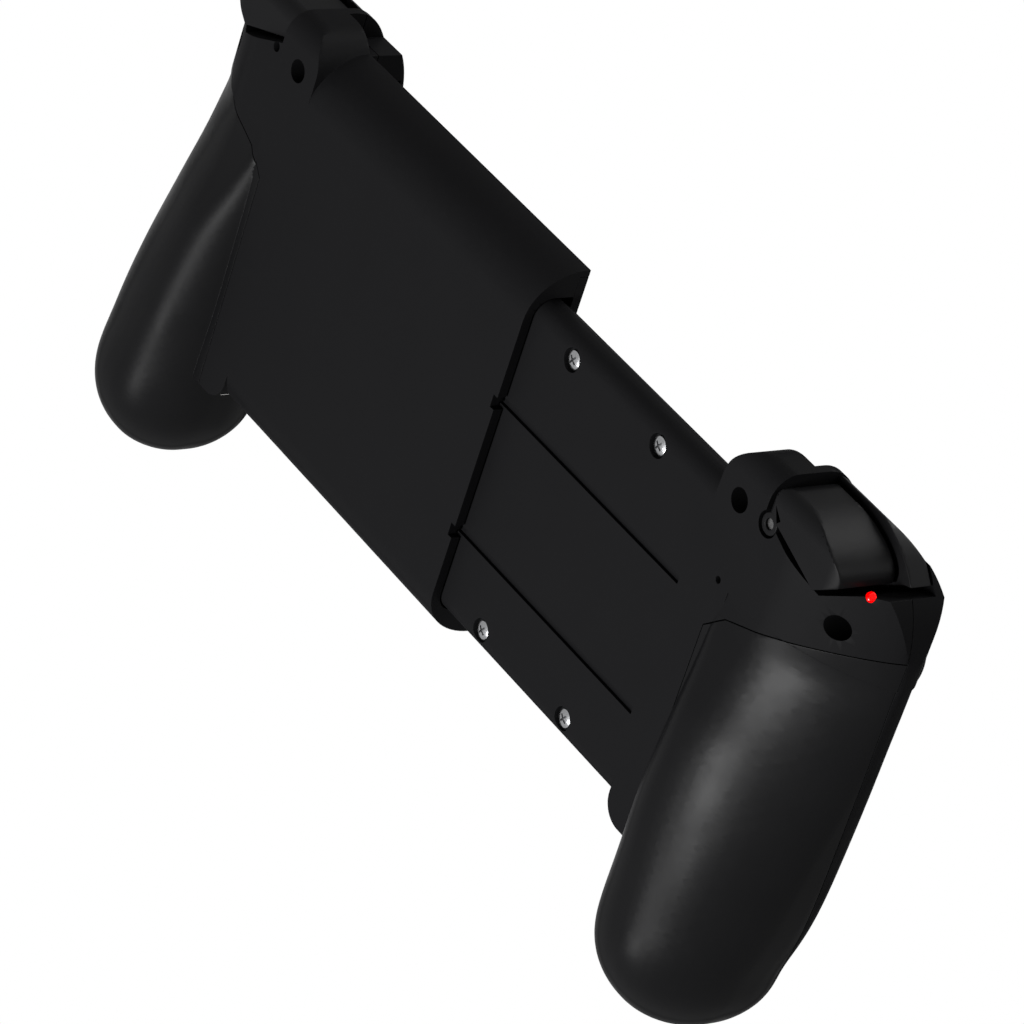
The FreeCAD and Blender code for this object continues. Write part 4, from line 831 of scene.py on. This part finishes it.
class CONTROLLER_OT_inner_parts(bpy.types.Operator):
    """Give the pieces inside, whose shapes stay as built, their materials"""

    bl_idname = "controller.inner_parts"
    bl_label = "Inner parts"

    def execute(self, context):
        makers = {
            "shoulder_pin": black_oxide, "trigger_spring": drawn_steel, "stick_base": drawn_steel,
            "charging_socket": drawn_steel, "circuit_board": solder_mask_board,
            "bumper_switch": glass_filled_nylon, "stick_yoke": glass_filled_nylon,
            "stick_post": glass_filled_nylon, "dpad_pivot": glass_filled_nylon,
            "reset_switch": glass_filled_nylon, "dpad_membrane": silicone_sheet,
            "face_membrane": silicone_sheet, "battery_cell": foil_pouch, "link_ribbon": polyimide_ribbon,
        }
        for name, node in frame["nodes"].items():
            if node.hide_render:
                continue
            maker = [m for word, m in makers.items() if name.endswith(word)]
            if not maker:
                raise RuntimeError(f"{name} has no material")
            for slot in node.material_slots:
                slot.material = material_of(maker[0])
            if not node.material_slots:
                node.data.materials.append(material_of(maker[0]))
        return {"FINISHED"}


# Each lamp's name, the way to it from the origin, its distance and side in metres and its power in watts.
# The two below draw the long soft bands on the grips. The one above and the fills light the other sides.
LAMPS = (
    ("key_below", (-0.25, -0.05, -0.97), 1.0, 0.22, 13.0),
    ("band_below", (0.0, -0.45, -0.90), 1.0, 0.2, 4.0),
    ("key_above", (0.15, 0.55, 0.82), 1.1, 0.45, 10.0),
    ("fill_right", (0.85, -0.35, 0.40), 1.2, 0.8, 1.0),
    ("fill_left", (-0.58, 0.55, 0.60), 1.2, 0.5, 3.0),
)


class CONTROLLER_OT_stage(bpy.types.Operator):
    """Set up the floor, the studio light and the camera"""

    bl_idname = "controller.stage"
    bl_label = "Stage"

    def execute(self, context):
        stage = context.scene.controller_stage
        self.floor(context, stage)
        self.world(context, stage)
        for name, way, reach, side, watts in LAMPS:
            self.lamp(context, name, Vector(way).normalized(), reach, side, watts)
        self.camera(context, stage)
        context.scene.view_settings.view_transform = "Standard"
        return {"FINISHED"}

    def floor(self, context, stage):
        bpy.ops.object.select_all(action="DESELECT")
        bpy.ops.mesh.primitive_plane_add(size=stage.floor_side, location=(0, 0, 0))
        floor = context.object
        floor.name = "studio_floor"
        floor.data.materials.append(material_of(pale_floor))

    def world(self, context, stage):
        """White where a camera, glossy or clear ray ends, and soft grey light for the rest."""
        world = bpy.data.worlds.new("studio")
        world.use_nodes = True
        context.scene.world = world
        tree = world.node_tree
        tree.nodes.clear()
        path = add_node(tree, "ShaderNodeLightPath").outputs
        seen = add_node(tree, "ShaderNodeMath", {0: path["Is Camera Ray"], 1: path["Is Glossy Ray"]})
        seen = add_node(tree, "ShaderNodeMath", {0: seen.outputs["Value"], 1: path["Is Transmission Ray"]},
                        use_clamp=True)
        soft = add_node(tree, "ShaderNodeBackground", {"Color": linear("#ffffff"),
                                                       "Strength": stage.ambient})
        white = add_node(tree, "ShaderNodeBackground", {"Color": linear("#ffffff"), "Strength": 1.0})
        mixed = add_node(tree, "ShaderNodeMixShader", {
            "Fac": seen.outputs["Value"], 1: soft.outputs["Background"], 2: white.outputs["Background"]})
        add_node(tree, "ShaderNodeOutputWorld", {"Surface": mixed.outputs["Shader"]})

    def lamp(self, context, name, way, reach, side, watts):
        light = bpy.data.lights.new(name, "AREA")
        light.shape = "SQUARE"
        light.size = side
        light.energy = watts
        lamp = bpy.data.objects.new(name, light)
        context.scene.collection.objects.link(lamp)
        lamp.location = way * reach
        lamp.rotation_euler = way.to_track_quat("Z", "Y").to_euler()

    def camera(self, context, stage):
        aim = Vector((stage.aim_across, stage.aim_along, stage.aim_up))
        away = Vector((math.cos(stage.elevation) * math.cos(stage.azimuth),
                       math.cos(stage.elevation) * math.sin(stage.azimuth), math.sin(stage.elevation)))
        level = Vector((0, 0, 1)).cross(away).normalized()
        upright = away.cross(level)
        right = level * math.cos(stage.roll) + upright * math.sin(stage.roll)
        up = away.cross(right)
        lens = bpy.data.cameras.new("photo_camera")
        lens.lens = stage.lens
        lens.sensor_width = 36
        lens.clip_start = 0.01
        camera = bpy.data.objects.new("photo_camera", lens)
        context.scene.collection.objects.link(camera)
        turn = Matrix((right, up, away)).transposed().to_4x4()
        camera.matrix_world = Matrix.Translation(aim + away * stage.distance) @ turn
        context.scene.camera = camera


class CONTROLLER_PT_pieces(bpy.types.Panel):
    """Lists the steps that build the controller's visible pieces"""

    bl_idname = "CONTROLLER_PT_pieces"
    bl_label = "Game controller"
    bl_space_type = "VIEW_3D"
    bl_region_type = "UI"
    bl_category = "Controller"

    def draw(self, context):
        for step in STEPS:
            self.layout.operator(step.bl_idname)
        for group in GROUPS:
            box = self.layout.box()
            box.label(text=group)
            settings = getattr(context.scene, group)
            for name in settings.__annotations__:
                box.prop(settings, name)


STEPS = (CONTROLLER_OT_shells, CONTROLLER_OT_grips, CONTROLLER_OT_levers, CONTROLLER_OT_jaw_pads,
         CONTROLLER_OT_stick_caps, CONTROLLER_OT_buttons, CONTROLLER_OT_dpad, CONTROLLER_OT_screws,
         CONTROLLER_OT_status_lamp, CONTROLLER_OT_inner_parts, CONTROLLER_OT_stage)
GROUPS = {
    "controller_shells": ControllerShellSizes,
    "controller_controls": ControllerControlSizes,
    "controller_finish": ControllerFinish,
    "controller_stage": ControllerStage,
}


def register():
    for kind in (*GROUPS.values(), *STEPS, CONTROLLER_PT_pieces):
        bpy.utils.register_class(kind)
    for name, kind in GROUPS.items():
        setattr(bpy.types.Scene, name, PointerProperty(type=kind))


def unregister():
    for name in GROUPS:
        delattr(bpy.types.Scene, name)
    for kind in (CONTROLLER_PT_pieces, *reversed(STEPS), *reversed(GROUPS.values())):
        bpy.utils.unregister_class(kind)


def main():
    register()
    for step in STEPS:
        group, name = step.bl_idname.split(".")
        getattr(getattr(bpy.ops, group), name)()
    bpy.ops.object.select_all(action="DESELECT")


if __name__ == "__main__":
    main()
